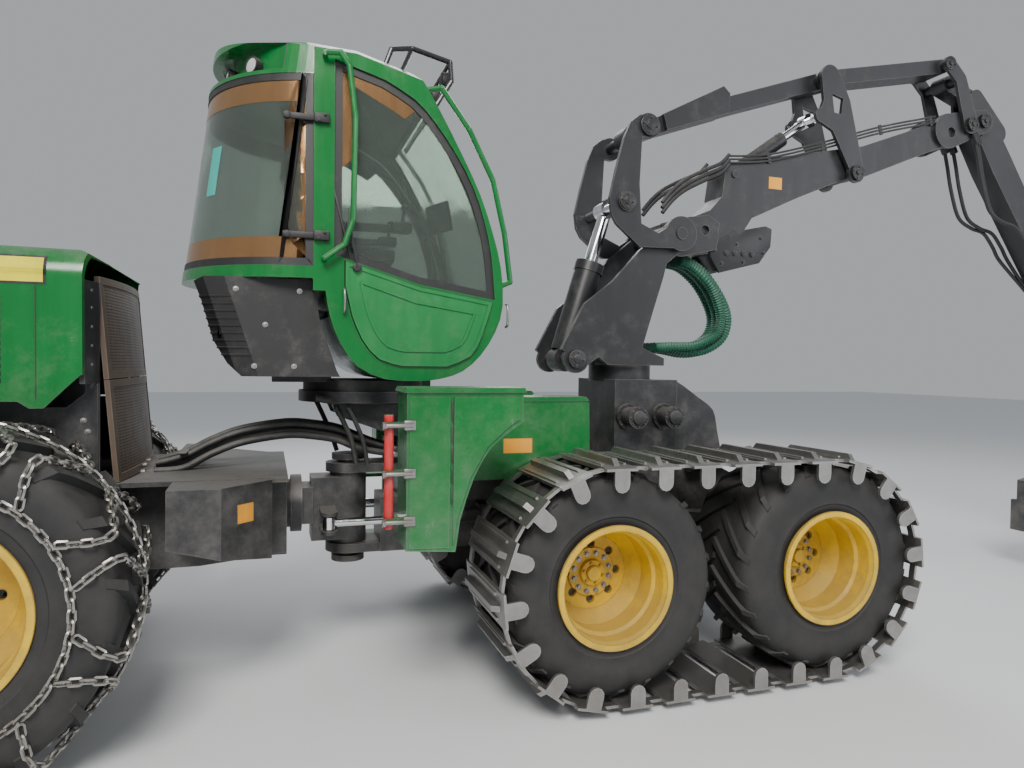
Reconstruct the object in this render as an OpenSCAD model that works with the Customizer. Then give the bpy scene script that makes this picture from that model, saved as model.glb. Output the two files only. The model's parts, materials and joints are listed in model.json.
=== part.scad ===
/* [Wheels and tracks] */
// Distance from the rear axle to the bogie pivots
wheelbase = 4050; // [3800:10:4300]
// Distance between the two wheels of a bogie
bogie_base = 1500; // [1400:10:1600]
// Distance between the middles of the left and right tyres
gauge = 2160; // [2120:10:2300]
// Radius of a bogie tyre
front_tyre_r = 665; // [640:5:690]
// Width of a bogie tyre
front_tyre_w = 700; // [620:10:720]
// Radius of a bogie rim where the tyre seats
front_rim_r = 337; // [320:1:350]
// Radius of a rear tyre over its lugs
rear_tyre_r = 828; // [800:4:850]
// Width of a rear tyre
rear_tyre_w = 710; // [640:10:740]
// Radius of a rear rim where the tyre seats
rear_rim_r = 432; // [410:2:445]
// Height of the lugs on a rear tyre
lug_h = 40; // [25:1:50]
// Lugs on each half of a rear tyre
lugs = 16; // [12:1:20]
// Thickness of the snow chain's strands
chain_t = 28; // [20:1:34]
// Places round a rear tyre where the chain crosses the tread
chain_crossings = 12; // [10:1:16]
// Shoes in one track
shoes = 26; // [24:1:28]
// Length of a shoe along the track
shoe_l = 190; // [160:2:200]
// Width of a shoe across the track
shoe_w = 770; // [750:5:790]
// Thickness of a shoe's plate
shoe_t = 24; // [18:1:30]
// Height of the cleat on a shoe
cleat_h = 40; // [25:1:45]

/* [Frames] */
// Distance from the bogie pivots back to the steering joint
joint_back = 2100; // [2050:10:2150]
// Height of the joint between the frames
joint_z = 1040; // [1000:10:1080]
// Width of the front frame
front_frame_w = 760; // [700:10:800]
// Width of the rear frame
rear_frame_w = 740; // [680:10:780]
// Thickness of the frames' plates
frame_t = 30; // [20:1:40]
// Length of the rear frame behind the rear axle
rear_overhang = 1220; // [1100:10:1300]
// Width across the rear frame's decks
deck_w = 1900; // [1800:10:1940]

/* [Engine cover] */
// Width of the hood
hood_w = 1700; // [1600:10:1760]
// Height of the hood's top above the ground
hood_top = 2570; // [2500:10:2640]
// Distance from the rear axle forward to the radiator screen
screen_ahead = 650; // [600:10:680]
// Thickness of the hood's skin
hood_t = 25; // [12:1:35]
// Height of the hood's lower edge above the ground
hood_low = 1770; // [1750:5:1800]
// Bars in the hood's side grille
grille_bars = 12; // [8:1:16]

/* [Cab] */
// Width of the cab
cab_w = 1500; // [1440:10:1540]
// Height of the cab's roof above the ground
cab_top = 3985; // [3940:5:4020]
// Distance from the bogie pivots back to the axis the cab turns on
cab_back = 2000; // [1980:5:2020]
// Thickness of the cab's walls and posts
cab_t = 60; // [45:1:70]
// Thickness of the window panes
glass_t = 12; // [8:1:16]
// Gap round the door
door_gap = 8; // [6:1:12]

/* [Crane] */
// Distance from the bogie pivots back to the axis the crane turns on
slew_back = 50; // [20:5:80]
// Width of the crane pillar
pillar_w = 560; // [520:5:600]
// Width of the main boom
boom_w = 250; // [230:5:270]
// Width of the stick
stick_w = 210; // [190:5:230]
// Length of the stick from its first pin to its mouth
stick_l = 2400; // [2300:10:2500]
// Length of the sliding extension beyond the stick's mouth
nose_l = 320; // [300:10:400]
// Slope of the stick below the level
stick_drop = 54.5; // [51:0.5:57]
// Thickness of the boom's walls
boom_t = 16; // [10:1:22]
// Radius of the pins in the crane
pin_r = 45; // [38:1:50]
// Gap beside a pin joint
side_gap = 6; // [5:1:10]

/* [Harvester head] */
// Length of the head's body
head_l = 1350; // [1250:10:1450]
// Width of the head's body
head_w = 340; // [320:5:380]
// Height of the head's spine
spine_h = 300; // [260:10:320]
// Radius of a feed roller
roller_r = 210; // [190:5:220]
// Height of a feed roller
roller_h = 330; // [300:10:350]

/* [Hidden] */
$fn = 48;

green = "#1f8a3f";
yellow = "#e0b61c";
charcoal = "#2b2c2e";
steel = "#9a9da0";
rubber = "#1b1b1c";
red = "#b3202a";

// Small clearances: bead on rim, shoe on tyre, running fits
fit = 0.3;
run = 5;

// Heights that follow from the wheels and what they stand on
axle_z = front_tyre_r + fit + shoe_t + cleat_h;
rear_z = rear_tyre_r + chain_t;
tyre_y = gauge / 2;
rear_x = -wheelbase;
joint_x = -joint_back;
cab_x = -cab_back;
slew_x = -slew_back;
screen_x = rear_x + screen_ahead;
tail_x = rear_x - rear_overhang;
cab_y = cab_w / 2;

// Pins of the crane in its own plane, as [forward of the slew axis, height]
function at_slew(p) = [p[0] + slew_x, p[1]];
boom_pin = at_slew([330, 2970]);
rocker_reach = [-285, 760];
parallel = [1730, 640];
rocker_top = boom_pin + rocker_reach;
link_low = boom_pin + parallel;
link_top = rocker_top + parallel;
lift_low = at_slew([-480, 2030]);
lift_eye = at_slew([-130, 3170]);
fold_low = boom_pin + [595, 540];
fold_eye = boom_pin + [1370, 1075];
end_low = boom_pin + [2980, 1180];
end_high = boom_pin + [2720, 1680];
end_tie = boom_pin + [2850, 1560];
stick_pin = boom_pin + [3170, 1240];
stick_tie = boom_pin + [3140, 1460];
stick_start = boom_pin + [3260, 1188];

// Tip of the extension, where the head hangs
tip_at = stick_start + (stick_l + nose_l) * [cos(stick_drop), -sin(stick_drop)];
swing_drop = 330;
rotator_top = tip_at[1] - swing_drop;
rotator_h = 330;
tilt_ahead = 330;
tilt_pin = [tip_at[0] + tilt_ahead, rotator_top - rotator_h - 380];
head_rear = tip_at[0] - 0.52 * head_l;

// Middle of the whole machine, from its tail to the head's knives
mid_x = (tail_x + head_rear + head_l) / 2;

// Track path round the two wheels of a bogie
track_r = front_tyre_r + fit;
run_l = bogie_base;
half_turn = PI * track_r;
track_l = 2 * run_l + 2 * half_turn;
shoe_pitch = track_l / shoes;

function dir(a) = [cos(a), sin(a)];
function lerp(a, b, t) = a + (b - a) * t;

// Point and outward angle on the track's path, s along it from the top of the rear wheel
function path_angle(s) = s < run_l ? 90
    : s < run_l + half_turn ? 90 - 180 * (s - run_l) / half_turn
    : s < 2 * run_l + half_turn ? -90
    : -90 - 180 * (s - 2 * run_l - half_turn) / half_turn;
function path_hub(s) = s < run_l ? -run_l / 2 + s
    : s < run_l + half_turn ? run_l / 2
    : s < 2 * run_l + half_turn ? run_l / 2 - (s - run_l - half_turn)
    : -run_l / 2;

// A smooth curve through the given points, with n steps between two of them
function curve_at(a, b, c, d, t) =
    0.5 * ((2 * b) + (c - a) * t + (2 * a - 5 * b + 4 * c - d) * t * t
        + (3 * b - a - 3 * c + d) * t * t * t);
function smooth(p, n) = let (m = len(p) - 1) concat(
    [for (i = [0:m - 1], k = [0:n - 1])
        curve_at(p[max(i - 1, 0)], p[i], p[i + 1], p[min(i + 2, m)], k / n)],
    [p[m]]);

// Moves the machine's drawing, whose zero is under the bogie pivots, to the middle of its box
module placed() translate([-mid_x, 0, 0]) children();

// Extrudes a side-view outline to thickness t, with its middle at y
module side(t, y = 0)
    translate([0, y + t / 2, 0]) rotate([90, 0, 0]) linear_extrude(t) children();

// Round bar across the machine through side-view point p
module cross(p, r, l, y = 0)
    translate([p[0], y, p[1]]) rotate([90, 0, 0]) cylinder(h = l, r = r, center = true);

// Outline of a link with round ends of radius a and b
module bar(p, q, a, b) {
    l = norm(q - p);
    h = atan2(q[1] - p[1], q[0] - p[0]);
    w = acos((a - b) / l);
    translate(p) circle(a);
    translate(q) circle(b);
    polygon([p + a * dir(h + w), q + b * dir(h + w), q + b * dir(h - w), p + a * dir(h - w)]);
}

// Round bar from p towards q in the plane at y, from distance a to distance b
module rod_between(p, q, r, a, b, y = 0)
    translate([p[0], y, p[1]])
        rotate([0, 90 - atan2(q[1] - p[1], q[0] - p[0]), 0])
            translate([0, 0, a]) cylinder(h = b - a, r = r);

// Two like plates with a gap between them
module pair(t, inside) {
    for (s = [-1, 1])
        side(t, s * (inside + t) / 2) children();
}

// A box given by its low and high corners
module box(low, high) translate(low) cube(high - low);

// Front frame with the bogie pivots and the lugs of the steering barrels
pivot_r = 150;
ear_t = 60;
ear_low = joint_z - 300;
ear_high = joint_z + 240;
joint_pin_r = 70;
ring_r = 430;
ring_z = 1800;
ring_h = 70;
// The frame narrows to a neck here, so that the steering cylinders can swing beside it
neck_x = joint_x + 970;
neck_y = 160;
eye_gap = 7;
stand_x = joint_x + 330;
neck_top = 1080;
module front_frame() color(charcoal) placed() {
    pair(frame_t, front_frame_w - 2 * frame_t) polygon([
        [neck_x, 715], [-900, 700], [-500, 560], [500, 560], [720, 760], [720, 1180],
        [420, 1330], [neck_x, 1330]]);
    side(front_frame_w - 2 * frame_t + 1) difference() {
        polygon([[neck_x, 715], [-900, 700], [-500, 560], [500, 560], [720, 760],
            [720, 1180], [420, 1330], [neck_x, 1330]]);
        polygon([[neck_x + frame_t, 752], [-890, 740], [-480, 600], [480, 600], [690, 790],
            [690, 1160], [420, 1290], [neck_x + frame_t, 1290]]);
    }
    // Pivots for the two bogies
    cross([0, axle_z], pivot_r, 2 * bogie_out - 20);
    cross([0, axle_z], pivot_r + 70, front_frame_w + 60);
    // Lugs and pins of the steering barrels
    for (s = [-1, 1]) {
        translate([joint_x + steer_eye_x, s * steer_out_y, steer_z])
            cylinder(h = 120, r = 30, center = true);
        for (z = [steer_z - 45 - eye_gap - 28, steer_z + 45 + eye_gap])
            box([joint_x + steer_eye_x - 70, s * steer_out_y - 60, z],
                [neck_x + 1, s * steer_out_y + 50, z + 28]);
    }
}

// Neck with the lower ear of the joint
module frame_neck() color(charcoal) placed() difference() {
    union() {
        box([joint_x + 200, -neck_y, ear_low - ear_t / 2], [neck_x, neck_y, neck_top]);
        translate([joint_x, 0, ear_low - ear_t / 2]) cylinder(h = ear_t, r = 150);
        box([joint_x, -150, ear_low - ear_t / 2], [joint_x + 201, 150, ear_low + ear_t / 2]);
    }
    translate([joint_x, 0, ear_low - ear_t]) cylinder(h = 2 * ear_t, r = joint_pin_r + fit);
}

// Rear plates of the frame, with the joint's upper ear and the ring under the cab
module cab_stand() color(charcoal) placed() difference() {
    union() {
        frame_y = front_frame_w / 2;
        pair(frame_t, front_frame_w - 2 * frame_t) polygon([[neck_x, 1330], [-1500, 1330],
            [-1640, 1420], [stand_x, 1420], [stand_x, neck_top], [neck_x, neck_top]]);
        box([-1500, -frame_y + 1, 1290], [neck_x, frame_y - 1, 1330]);
        box([stand_x, -frame_y + 1, neck_top], [neck_x, frame_y - 1, neck_top + frame_t]);
        box([stand_x, -frame_y + 1, neck_top], [stand_x + frame_t, frame_y - 1, 1400]);
        translate([joint_x, 0, ear_high - ear_t / 2]) cylinder(h = ear_t, r = 150);
        box([joint_x, -150, ear_high - ear_t / 2], [stand_x + 1, 150, ear_high + ear_t / 2]);
        // Brackets for the side boxes
        for (s = [-1, 1])
            box([-1720, s > 0 ? frame_y - 1 : -box_in + fit, 1300],
                [-1580, s > 0 ? box_in - fit : -frame_y + 1, 1380]);
        turntable();
    }
    translate([joint_x, 0, ear_high - ear_t]) cylinder(h = 2 * ear_t, r = joint_pin_r + fit);
}

// Ring and legs under the cab
module turntable() {
    difference() {
        translate([cab_x, 0, ring_z - ring_h]) cylinder(h = ring_h, r = ring_r);
        translate([cab_x, 0, ring_z - ring_h - 1]) cylinder(h = ring_h + 2, r = ring_r - 120);
    }
    // Legs at each side, from the frame's rear plates up to the ring
    pair(40, 480) polygon([
        [joint_x + 345, 1340], [-1560, 1340], [-1600, 1560], [-1640, ring_z - ring_h + 1],
        [cab_x - 240, ring_z - ring_h + 1], [cab_x - 200, 1640], [joint_x + 300, 1500]]);
    box([-1640, -240, 1640], [-1600, 240, ring_z - ring_h + 1]);
}

// Side boxes: a cabinet with its door and lock bar on the right, a tank with steps on the left,
// and a low box on each side inside the tracks
box_out = 1350;
box_in = 1075;
low_box_out = 670;
box_top = 1835;
module side_boxes() color(green) placed() {
    // Right cabinet, whose lower front edge follows the track, with the lip of its lid
    side(box_out - box_in, -(box_out + box_in) / 2) polygon(concat(
        [[-1940, 1005], [-1675, 985]],
        smooth([[-1650, 1155], [-1580, 1365], [-1490, 1525], [-1365, 1630]], 4),
        [[-1295, 1675], [-1300, box_top], [-1940, box_top]]));
    side(box_out - box_in + 24, -(box_out + box_in) / 2)
        polygon([[-1955, box_top - 1], [-1285, box_top - 1], [-1295, box_top + 25], [-1945, box_top + 25]]);
    // Low boxes against the frame's sides
    low_t = low_box_out - front_frame_w / 2 - fit;
    for (s = [-1, 1])
        side(low_t, s * (low_box_out + front_frame_w / 2 + fit) / 2)
            polygon([[-1490, 1250], [-640, 1250], [-590, 1310], [-600, 1735], [-630, 1757],
                [-1490, 1757]]);
    for (s = [-1, 1])
        side(low_t, s * (low_box_out + front_frame_w / 2 + fit + 16) / 2)
            polygon([[-1500, 1750], [-600, 1750], [-625, 1778], [-1490, 1778]]);
    // Door leaf on the cabinet, and the strip behind it
    side(12, -box_out - 5) polygon([[-1690, 1020], [-1672, 1160], [-1600, 1378], [-1505, 1545],
        [-1380, 1655], [-1322, 1690], [-1322, 1812], [-1690, 1812]]);
    side(8, -box_out - 3) polygon([[-1925, 1020], [-1712, 1010], [-1712, 1812], [-1925, 1812]]);
    // Left tank
    side(box_out - box_in, (box_out + box_in) / 2) polygon(concat(
        [[-1760, 1250], [-1660, 1250]],
        smooth([[-1600, 1300], [-1500, 1470], [-1340, 1600]], 4),
        [[-1300, 1650], [-1300, 1860], [-1760, 1860]]));
    // Steps on the left, hung from the tank
    for (z = [500, 760, 1020])
        box([-1920, box_in + 60, z], [-1680, box_out, z + 30]);
    for (x = [-1920, -1700])
        box([x, box_in + 40, 500], [x + 20, box_in + 70, 1300]);
    box([-1920, box_in + 40, 1250], [-1680, box_in + 70, 1300]);
    // Red lock bar in its two clamps behind the cabinet
    for (z = [1150, 1400, 1650])
        box([-2054, -box_out - 4, z], [-1939, -box_out + 46, z + 30]);
    translate([-2029, -box_out + 21, 1125]) cylinder(h = 595, r = 22);
}

// Crane base with the two cross cylinders that turn it
module slew_housing() color(charcoal) placed() {
    translate([slew_x, 0, 1330]) {
        difference() {
            translate([-195, -330, 0]) cube([510, 660, 555]);
            translate([0, 0, 450]) cylinder(h = 300, r = 180);
        }
        // Cross cylinders with their flanges and end caps
        for (x = [-95, 195]) {
            translate([x, 0, 290]) rotate([90, 0, 0]) cylinder(h = 1000, r = 68, center = true);
            for (s = [-1, 1]) {
                translate([x, s * 345, 290]) rotate([90, 0, 0]) cylinder(h = 32, r = 92, center = true);
                translate([x, s * 485, 290]) rotate([90, 0, 0]) cylinder(h = 50, r = 78, center = true);
            }
        }
        difference() {
            translate([0, 0, 540]) cylinder(h = 110, r = 235);
            translate([0, 0, 450]) cylinder(h = 400, r = 180);
        }
    }
    // Curved guard ahead of the base
    side(640) polygon(concat([[250, 1331], [665, 1331]],
        smooth([[665, 1331], [625, 1505], [585, 1660], [455, 1755], [330, 1840]], 3), [[250, 1884]]));
    // Pressure tank beside the guard, on its bracket
    for (s = [-1, 1]) {
        rod_between([280, 1262], [820, 1355], 45, 0, 548, s * 470);
        box([430, s > 0 ? 384 : -480, 1262], [480, s > 0 ? 480 : -384, 1290]);
    }
}

// One bogie beam with its hubs
bogie_out = 670;
bogie_w = 130;
module bogie_beam(s) color(charcoal) placed() {
    difference() {
        union() {
            side(bogie_w, s * (bogie_out - bogie_w / 2)) {
                for (h = [-1, 1])
                    bar([0, axle_z], [h * bogie_base / 2, axle_z], 260, 185);
            }
            for (h = [-1, 1])
                cross([h * bogie_base / 2, axle_z], 190, disc_in - bogie_out + 1 - fit,
                    s * (disc_in + bogie_out - 1 - fit) / 2);
        }
        cross([0, axle_z], pivot_r + fit, 4 * bogie_w, s * bogie_out);
    }
}

// Where the wheel discs sit on the hubs
disc_in = 1030;
disc_t = 24;
cap_r = 150;
module wheel_disc(r, s, holes) {
    // Rim barrel with flanges, cone and disc; s is the side it faces
    difference() {
        rotate([90, 0, 0]) rotate_extrude() children();
        for (i = [0:holes - 1])
            rotate([0, i * 360 / holes, 0]) translate([r * 0.5, 0, 0])
                rotate([90, 0, 0]) cylinder(h = 4 * r, r = 25, center = true);
    }
}

// Section of a rim: barrel radius r, half width w, disc at depth d from the middle
module rim_section(r, w, d) {
    polygon([[r - 16, -w], [r + 22, -w], [r + 22, -w + 14], [r, -w + 14],
        [r, w - 14], [r + 22, w - 14], [r + 22, w], [r - 14, w],
        [r - 26, w - 30], [r - 26, w - 120], [r - 44, w - 140], [r - 44, d + 120],
        [r * 0.68, d + disc_t], [cap_r, d + disc_t], [cap_r, d + disc_t + 10], [0, d + disc_t + 10],
        [0, d], [r * 0.68, d], [r - 60, d + 90], [r - 16, d + 110]]);
}

module bogie_rims(s) color(yellow) placed() {
    for (h = [-1, 1])
        translate([h * bogie_base / 2, s * tyre_y, axle_z])
            wheel_disc(front_rim_r, s, 8)
                scale([1, 1]) mirror([0, s > 0 ? 1 : 0])
                    rim_section(front_rim_r, front_tyre_w / 2 - 10, disc_in - tyre_y);
}

// Section of a tyre: seat radius r, outer radius o, half width w
module tyre_section(r, o, w, t) {
    difference() {
        polygon([[r, -w + 30], [lerp(r, o, 0.45), -w], [o - 60, -w + 8], [o - 6, -w + 50],
            [o, -w + 90], [o, w - 90], [o - 6, w - 50], [o - 60, w - 8],
            [lerp(r, o, 0.45), w], [r, w - 30]]);
        polygon([[r - 1, -w + 30 + t], [lerp(r, o, 0.45), -w + t], [o - t - 30, -w + t + 10],
            [o - t, -w + 110], [o - t, w - 110], [o - t - 30, w - t - 10],
            [lerp(r, o, 0.45), w - t], [r - 1, w - 30 - t]]);
    }
}

module bogie_tyres(s) color(rubber) placed() {
    for (h = [-1, 1])
        translate([h * bogie_base / 2, s * tyre_y, axle_z])
            rotate([90, 0, 0]) rotate_extrude()
                tyre_section(front_rim_r + fit, front_tyre_r, front_tyre_w / 2 - 25, 40);
}

// Loop of cross plates round a bogie, joined by links at both edges
link_w = 44;
link_over = 32;
module track(s) color(steel) placed() translate([0, s * tyre_y, axle_z]) {
    half_link = (shoe_pitch - shoe_l) / 2 + link_over - link_w / 2;
    for (i = [0:shoes - 1]) {
        at_path(i * shoe_pitch) shoe();
        at_path((i + 0.5) * shoe_pitch)
            for (y = [-1, 1])
                translate([0, y * (shoe_w / 2 - 72), 4]) linear_extrude(shoe_t - 8)
                    bar([-half_link, 0], [half_link, 0], link_w / 2, link_w / 2, $fn = 12);
    }
}

module at_path(s) {
    a = path_angle(s);
    translate([path_hub(s), 0, 0]) rotate([0, 90 - a, 0]) translate([0, 0, track_r]) children();
}

// One cross plate with its cleat, and a round-ended ear hanging beside each sidewall
ear_w = 92;
ear_drop = 118;
ear_t_out = 20;
module shoe() {
    translate([-shoe_l / 2, 0, 0]) rotate([90, 0, 90]) linear_extrude(shoe_l) polygon([
        [-shoe_w / 2 + 40, 0], [shoe_w / 2 - 40, 0], [shoe_w / 2, 4], [shoe_w / 2, shoe_t - 6],
        [shoe_w / 2 - 40, shoe_t], [-shoe_w / 2 + 40, shoe_t], [-shoe_w / 2, shoe_t - 6],
        [-shoe_w / 2, 4]]);
    // Cleat across the middle and a low rib near each long edge
    rotate([90, 0, 90]) translate([0, 0, -16]) linear_extrude(32) polygon([
        [-shoe_w / 2 + 70, shoe_t - 1], [shoe_w / 2 - 70, shoe_t - 1],
        [shoe_w / 2 - 110, shoe_t + cleat_h], [-shoe_w / 2 + 110, shoe_t + cleat_h]]);
    for (x = [-1, 1])
        translate([x * (shoe_l / 2 - 24) - 8, -shoe_w / 2 + 120, shoe_t - 1])
            cube([16, shoe_w - 240, 11]);
    for (y = [-1, 1])
        translate([0, y * (shoe_w / 2 - ear_t_out / 2), 0]) rotate([90, 0, 0])
            linear_extrude(ear_t_out, center = true) {
                translate([-ear_w / 2, -ear_drop + ear_w / 2]) square([ear_w, ear_drop - ear_w / 2 + 8]);
                translate([0, -ear_drop + ear_w / 2]) circle(ear_w / 2, $fn = 12);
            }
}

// Joint piece with the upright pin, the roll bearing and the forks of the steering rods
roll_r = 190;
module steer_knuckle() color(charcoal) placed() {
    pin_low = ear_low - 90;
    pin_high = ear_high + 60;
    translate([joint_x, 0, pin_low]) cylinder(h = pin_high - pin_low, r = joint_pin_r);
    for (z = [pin_low, pin_high])
        translate([joint_x, 0, z - 10]) cylinder(h = 40, r = 110);
    translate([joint_x, 0, ear_low + ear_t / 2 + run])
        cylinder(h = ear_high - ear_low - ear_t - 2 * run, r = 122);
    box([joint_x - 250, -122, ear_low + ear_t], [joint_x, 122, ear_high - ear_t]);
    translate([joint_x - 380, 0, joint_z]) rotate([0, 90, 0]) cylinder(h = 70, r = roll_r);
    box([joint_x - 320, -140, joint_z - 120], [joint_x - 240, 140, joint_z + 120]);
    translate([joint_x - 480, 0, joint_z]) rotate([0, 90, 0]) cylinder(h = 120, r = roll_r - 30 - fit);
    // Forks that take the steering rods
    for (s = [-1, 1], z = [steer_z - 46 - 24, steer_z + 46])
        translate([joint_x + steer_rod_x, s * steer_in_y, z]) {
            cylinder(h = 24, r = 52);
            mirror([0, s > 0 ? 1 : 0]) translate([-52, 0, 0]) cube([104, steer_in_y - 100, 24]);
        }
}

// Rear frame: chassis, roll bearing, decks, axle and counterweight
module rear_frame() color(charcoal) placed() {
    frame_y = rear_frame_w / 2;
    nose_x = joint_x - 410;
    difference() {
        union() {
            pair(frame_t, rear_frame_w - 2 * frame_t) polygon([
                [nose_x, 800], [nose_x - 500, 750], [tail_x + 250, 750], [tail_x + 60, 900],
                [tail_x + 60, 1280], [screen_x - 100, 1300], [nose_x - 400, 1240], [nose_x, 1240]]);
            box([tail_x + 100, -frame_y + frame_t, 780], [nose_x, frame_y - frame_t, 810]);
            box([nose_x - 60, -frame_y + frame_t - 1, 800], [nose_x, frame_y - frame_t + 1, 1300]);
            // Deck boxes ahead of the rear wheels, with corners cut for the steering
            intersection() {
                for (s = [-1, 1])
                    side(deck_w / 2 - frame_y + 2, s * (deck_w / 2 + frame_y) / 2) polygon([
                        [-3130, 990], [-2600, 850], [-2600, 1306], [-3130, 1306]]);
                linear_extrude(2000) polygon([[-3130, -deck_w / 2], [-2860, -deck_w / 2],
                    [-2600, -deck_w / 2 + 260], [-2600, deck_w / 2 - 260], [-2860, deck_w / 2],
                    [-3130, deck_w / 2]]);
            }
            box([-3400, -660, 1285], [nose_x, 660, 1312 - fit]);
            box([tail_x + 80, -panel_out, 1285], [-3390, panel_out, 1312 - fit]);
            // Axle with its hubs
            translate([rear_x, 0, rear_z]) {
                translate([-170, -420, -180]) cube([340, 840, 360]);
                rotate([90, 0, 0]) cylinder(h = 2 * (bogie_out + 200), r = 150, center = true);
            }
            for (s = [-1, 1])
                cross([rear_x, rear_z], 190, 100, s * (disc_in - 50 - fit));
            // Counterweight
            side(1240) polygon([[tail_x, 900], [tail_x + 40, 820], [tail_x + 260, 780],
                [tail_x + 300, 1250], [tail_x + 30, 1270], [tail_x, 1230]]);
        }
        translate([nose_x - 100, 0, joint_z]) rotate([0, 90, 0]) cylinder(h = 300, r = roll_r - 30);
    }
}

module engine_block() color(steel) placed()
    box([screen_x - 1500, -320, 1312], [screen_x - 350, 320, 2150]);

// Hood: a shell open below and ahead, with side grilles and blank name strips
module hood() color(green) placed() {
    h = hood_w / 2;
    slot = 26;
    difference() {
        hood_form(0);
        hood_form(hood_t);
        for (s = [-1, 1], i = [0:grille_bars - 1], k = [0:1])
            box([screen_x - 1000 + k * 270, s * h - 60, 1860 + i * 38],
                [screen_x - 760 + k * 270, s * h + 60, 1860 + slot + i * 38]);
    }
}

// Radius of the hood's bowed front edge
cowl_r = 3440;

module hood_form(t) {
    // Side outline, cut by the round-shouldered front outline
    intersection() {
        side(hood_w - 2 * t) polygon(concat(
            [[tail_x + 60 + t, hood_low - 4 * t], [tail_x + 80 + t, 2200]],
            smooth([[tail_x + 160 + t, 2420 - t], [tail_x + 420, hood_top - 40 - t],
                [tail_x + 900, hood_top - t], [screen_x - 155, hood_top - 10 - t]], 4),
            [[screen_x - 65 + 3 * t, hood_top - 55 - t], [screen_x - 25 + 3 * t, hood_top - 110 - t],
                [screen_x - 125 + 3 * t, 2385], [screen_x - 115 + 3 * t, 2325],
                [screen_x - 65 + 3 * t, 1965], [screen_x - 65 + 3 * t, 1915 - 4 * t],
                [screen_x - 140, 1905 - 4 * t], [screen_x - 200, 1845 - 4 * t],
                [screen_x - 305, 1735 - 4 * t], [screen_x - 370, 1735 - 4 * t],
                [screen_x - 420, hood_low - 4 * t]]));
        // The front edge is bowed like the screen below it
        translate([screen_x - 25 + 3 * t - cowl_r, 0, hood_low - 100])
            cylinder(h = 1200, r = cowl_r, $fn = 360);
        rotate([90, 0, 90]) translate([0, 0, tail_x]) linear_extrude(rear_overhang + screen_ahead + 100)
            hood_section(hood_w / 2 - t, hood_top - t);
    }
}

module hood_section(w, top) {
    r = 160;
    polygon([[-w, 1400], [w, 1400], [w, top - r], [w - r, top], [-w + r, top], [-w, top - r]]);
    for (s = [-1, 1])
        translate([s * (w - r), top - r]) circle(r);
}

// Black panels below the hood, inside the rear wheels
panel_out = 690;
module side_panels() color(charcoal) placed() {
    for (s = [-1, 1])
        side(30, s * (panel_out - 15)) polygon([[screen_x - 90, 1312], [screen_x - 90, 1860],
            [screen_x - 240, 1730], [screen_x - 390, 1730], [screen_x - 420, hood_low + 4],
            [tail_x + 90, hood_low + 4], [tail_x + 90, 1312]]);
    // Shelves that carry the hood's sides out over the wheels
    for (s = [-1, 1])
        box([tail_x + 90, s > 0 ? panel_out - 1 : -hood_w / 2 + hood_t + fit, hood_low + 3],
            [screen_x - 425, s > 0 ? hood_w / 2 - hood_t - fit : -panel_out + 1, hood_low + 15]);
    // Corner posts between the hood and the screen, narrow beside the wheels
    for (s = [-1, 1], k = [0, 1])
        mirror([0, s > 0 ? 1 : 0]) translate([0, 0, [1312, 1859][k]])
            linear_extrude([548, 541][k]) polygon([
                [screen_x - 150, [-panel_out, -hood_w / 2 + hood_t + 6][k]],
                [screen_x - 125, [-panel_out, -hood_w / 2 + hood_t + 6][k]],
                [screen_x - 88, -screen_y - 30], [screen_x - 88, -screen_y - fit],
                [screen_x - 150, -screen_y - fit]]);
}

// Bowed mesh screen over the radiator, leaning back, in two leaves with frames
screen_y = 640;
screen_bow = 60;
screen_lean = 4.8;
screen_z = [1316, 1884, 2446];
module radiator_guard() color("#4a3b2c") placed()
    translate([screen_x + 62, 0, 1317]) rotate([0, -screen_lean, 0]) {
        for (k = [0, 1]) difference() {
            bowed(screen_r, 26, screen_z[k] - 1312, screen_z[k + 1] - 1312 - 5, screen_y);
            difference() {
                bowed(screen_r + 1, 30, screen_z[k] - 1312 + 40, screen_z[k + 1] - 1312 - 45,
                    screen_y - 40);
                bowed(screen_r - 8, 6, screen_z[k] - 1312 + 1, screen_z[k + 1] - 1312 - 6,
                    screen_y - 1);
            }
        }
        // Strap that joins the two leaves
        bowed(screen_r - 24, 10, 10, screen_z[2] - 1312 - 10, 60);
    }

// Radius of the screen's face, and a bowed sheet of the given outer radius, from z1 to z2
screen_r = (screen_y * screen_y + screen_bow * screen_bow) / (2 * screen_bow);
module bowed(r, t, z1, z2, y) intersection() {
    translate([-screen_r, 0, z1]) difference() {
        cylinder(h = z2 - z1, r = r, $fn = 360);
        translate([0, 0, -1]) cylinder(h = z2 - z1 + 2, r = r - t, $fn = 360);
    }
    box([-400, -y, z1 - 1], [100, y, z2 + 1]);
}

module rear_rim(s) color(yellow) placed()
    translate([rear_x, s * tyre_y, rear_z])
        wheel_disc(rear_rim_r, s, 10)
            mirror([0, s > 0 ? 1 : 0])
                rim_section(rear_rim_r, rear_tyre_w / 2 - 10, disc_in - tyre_y);

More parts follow.
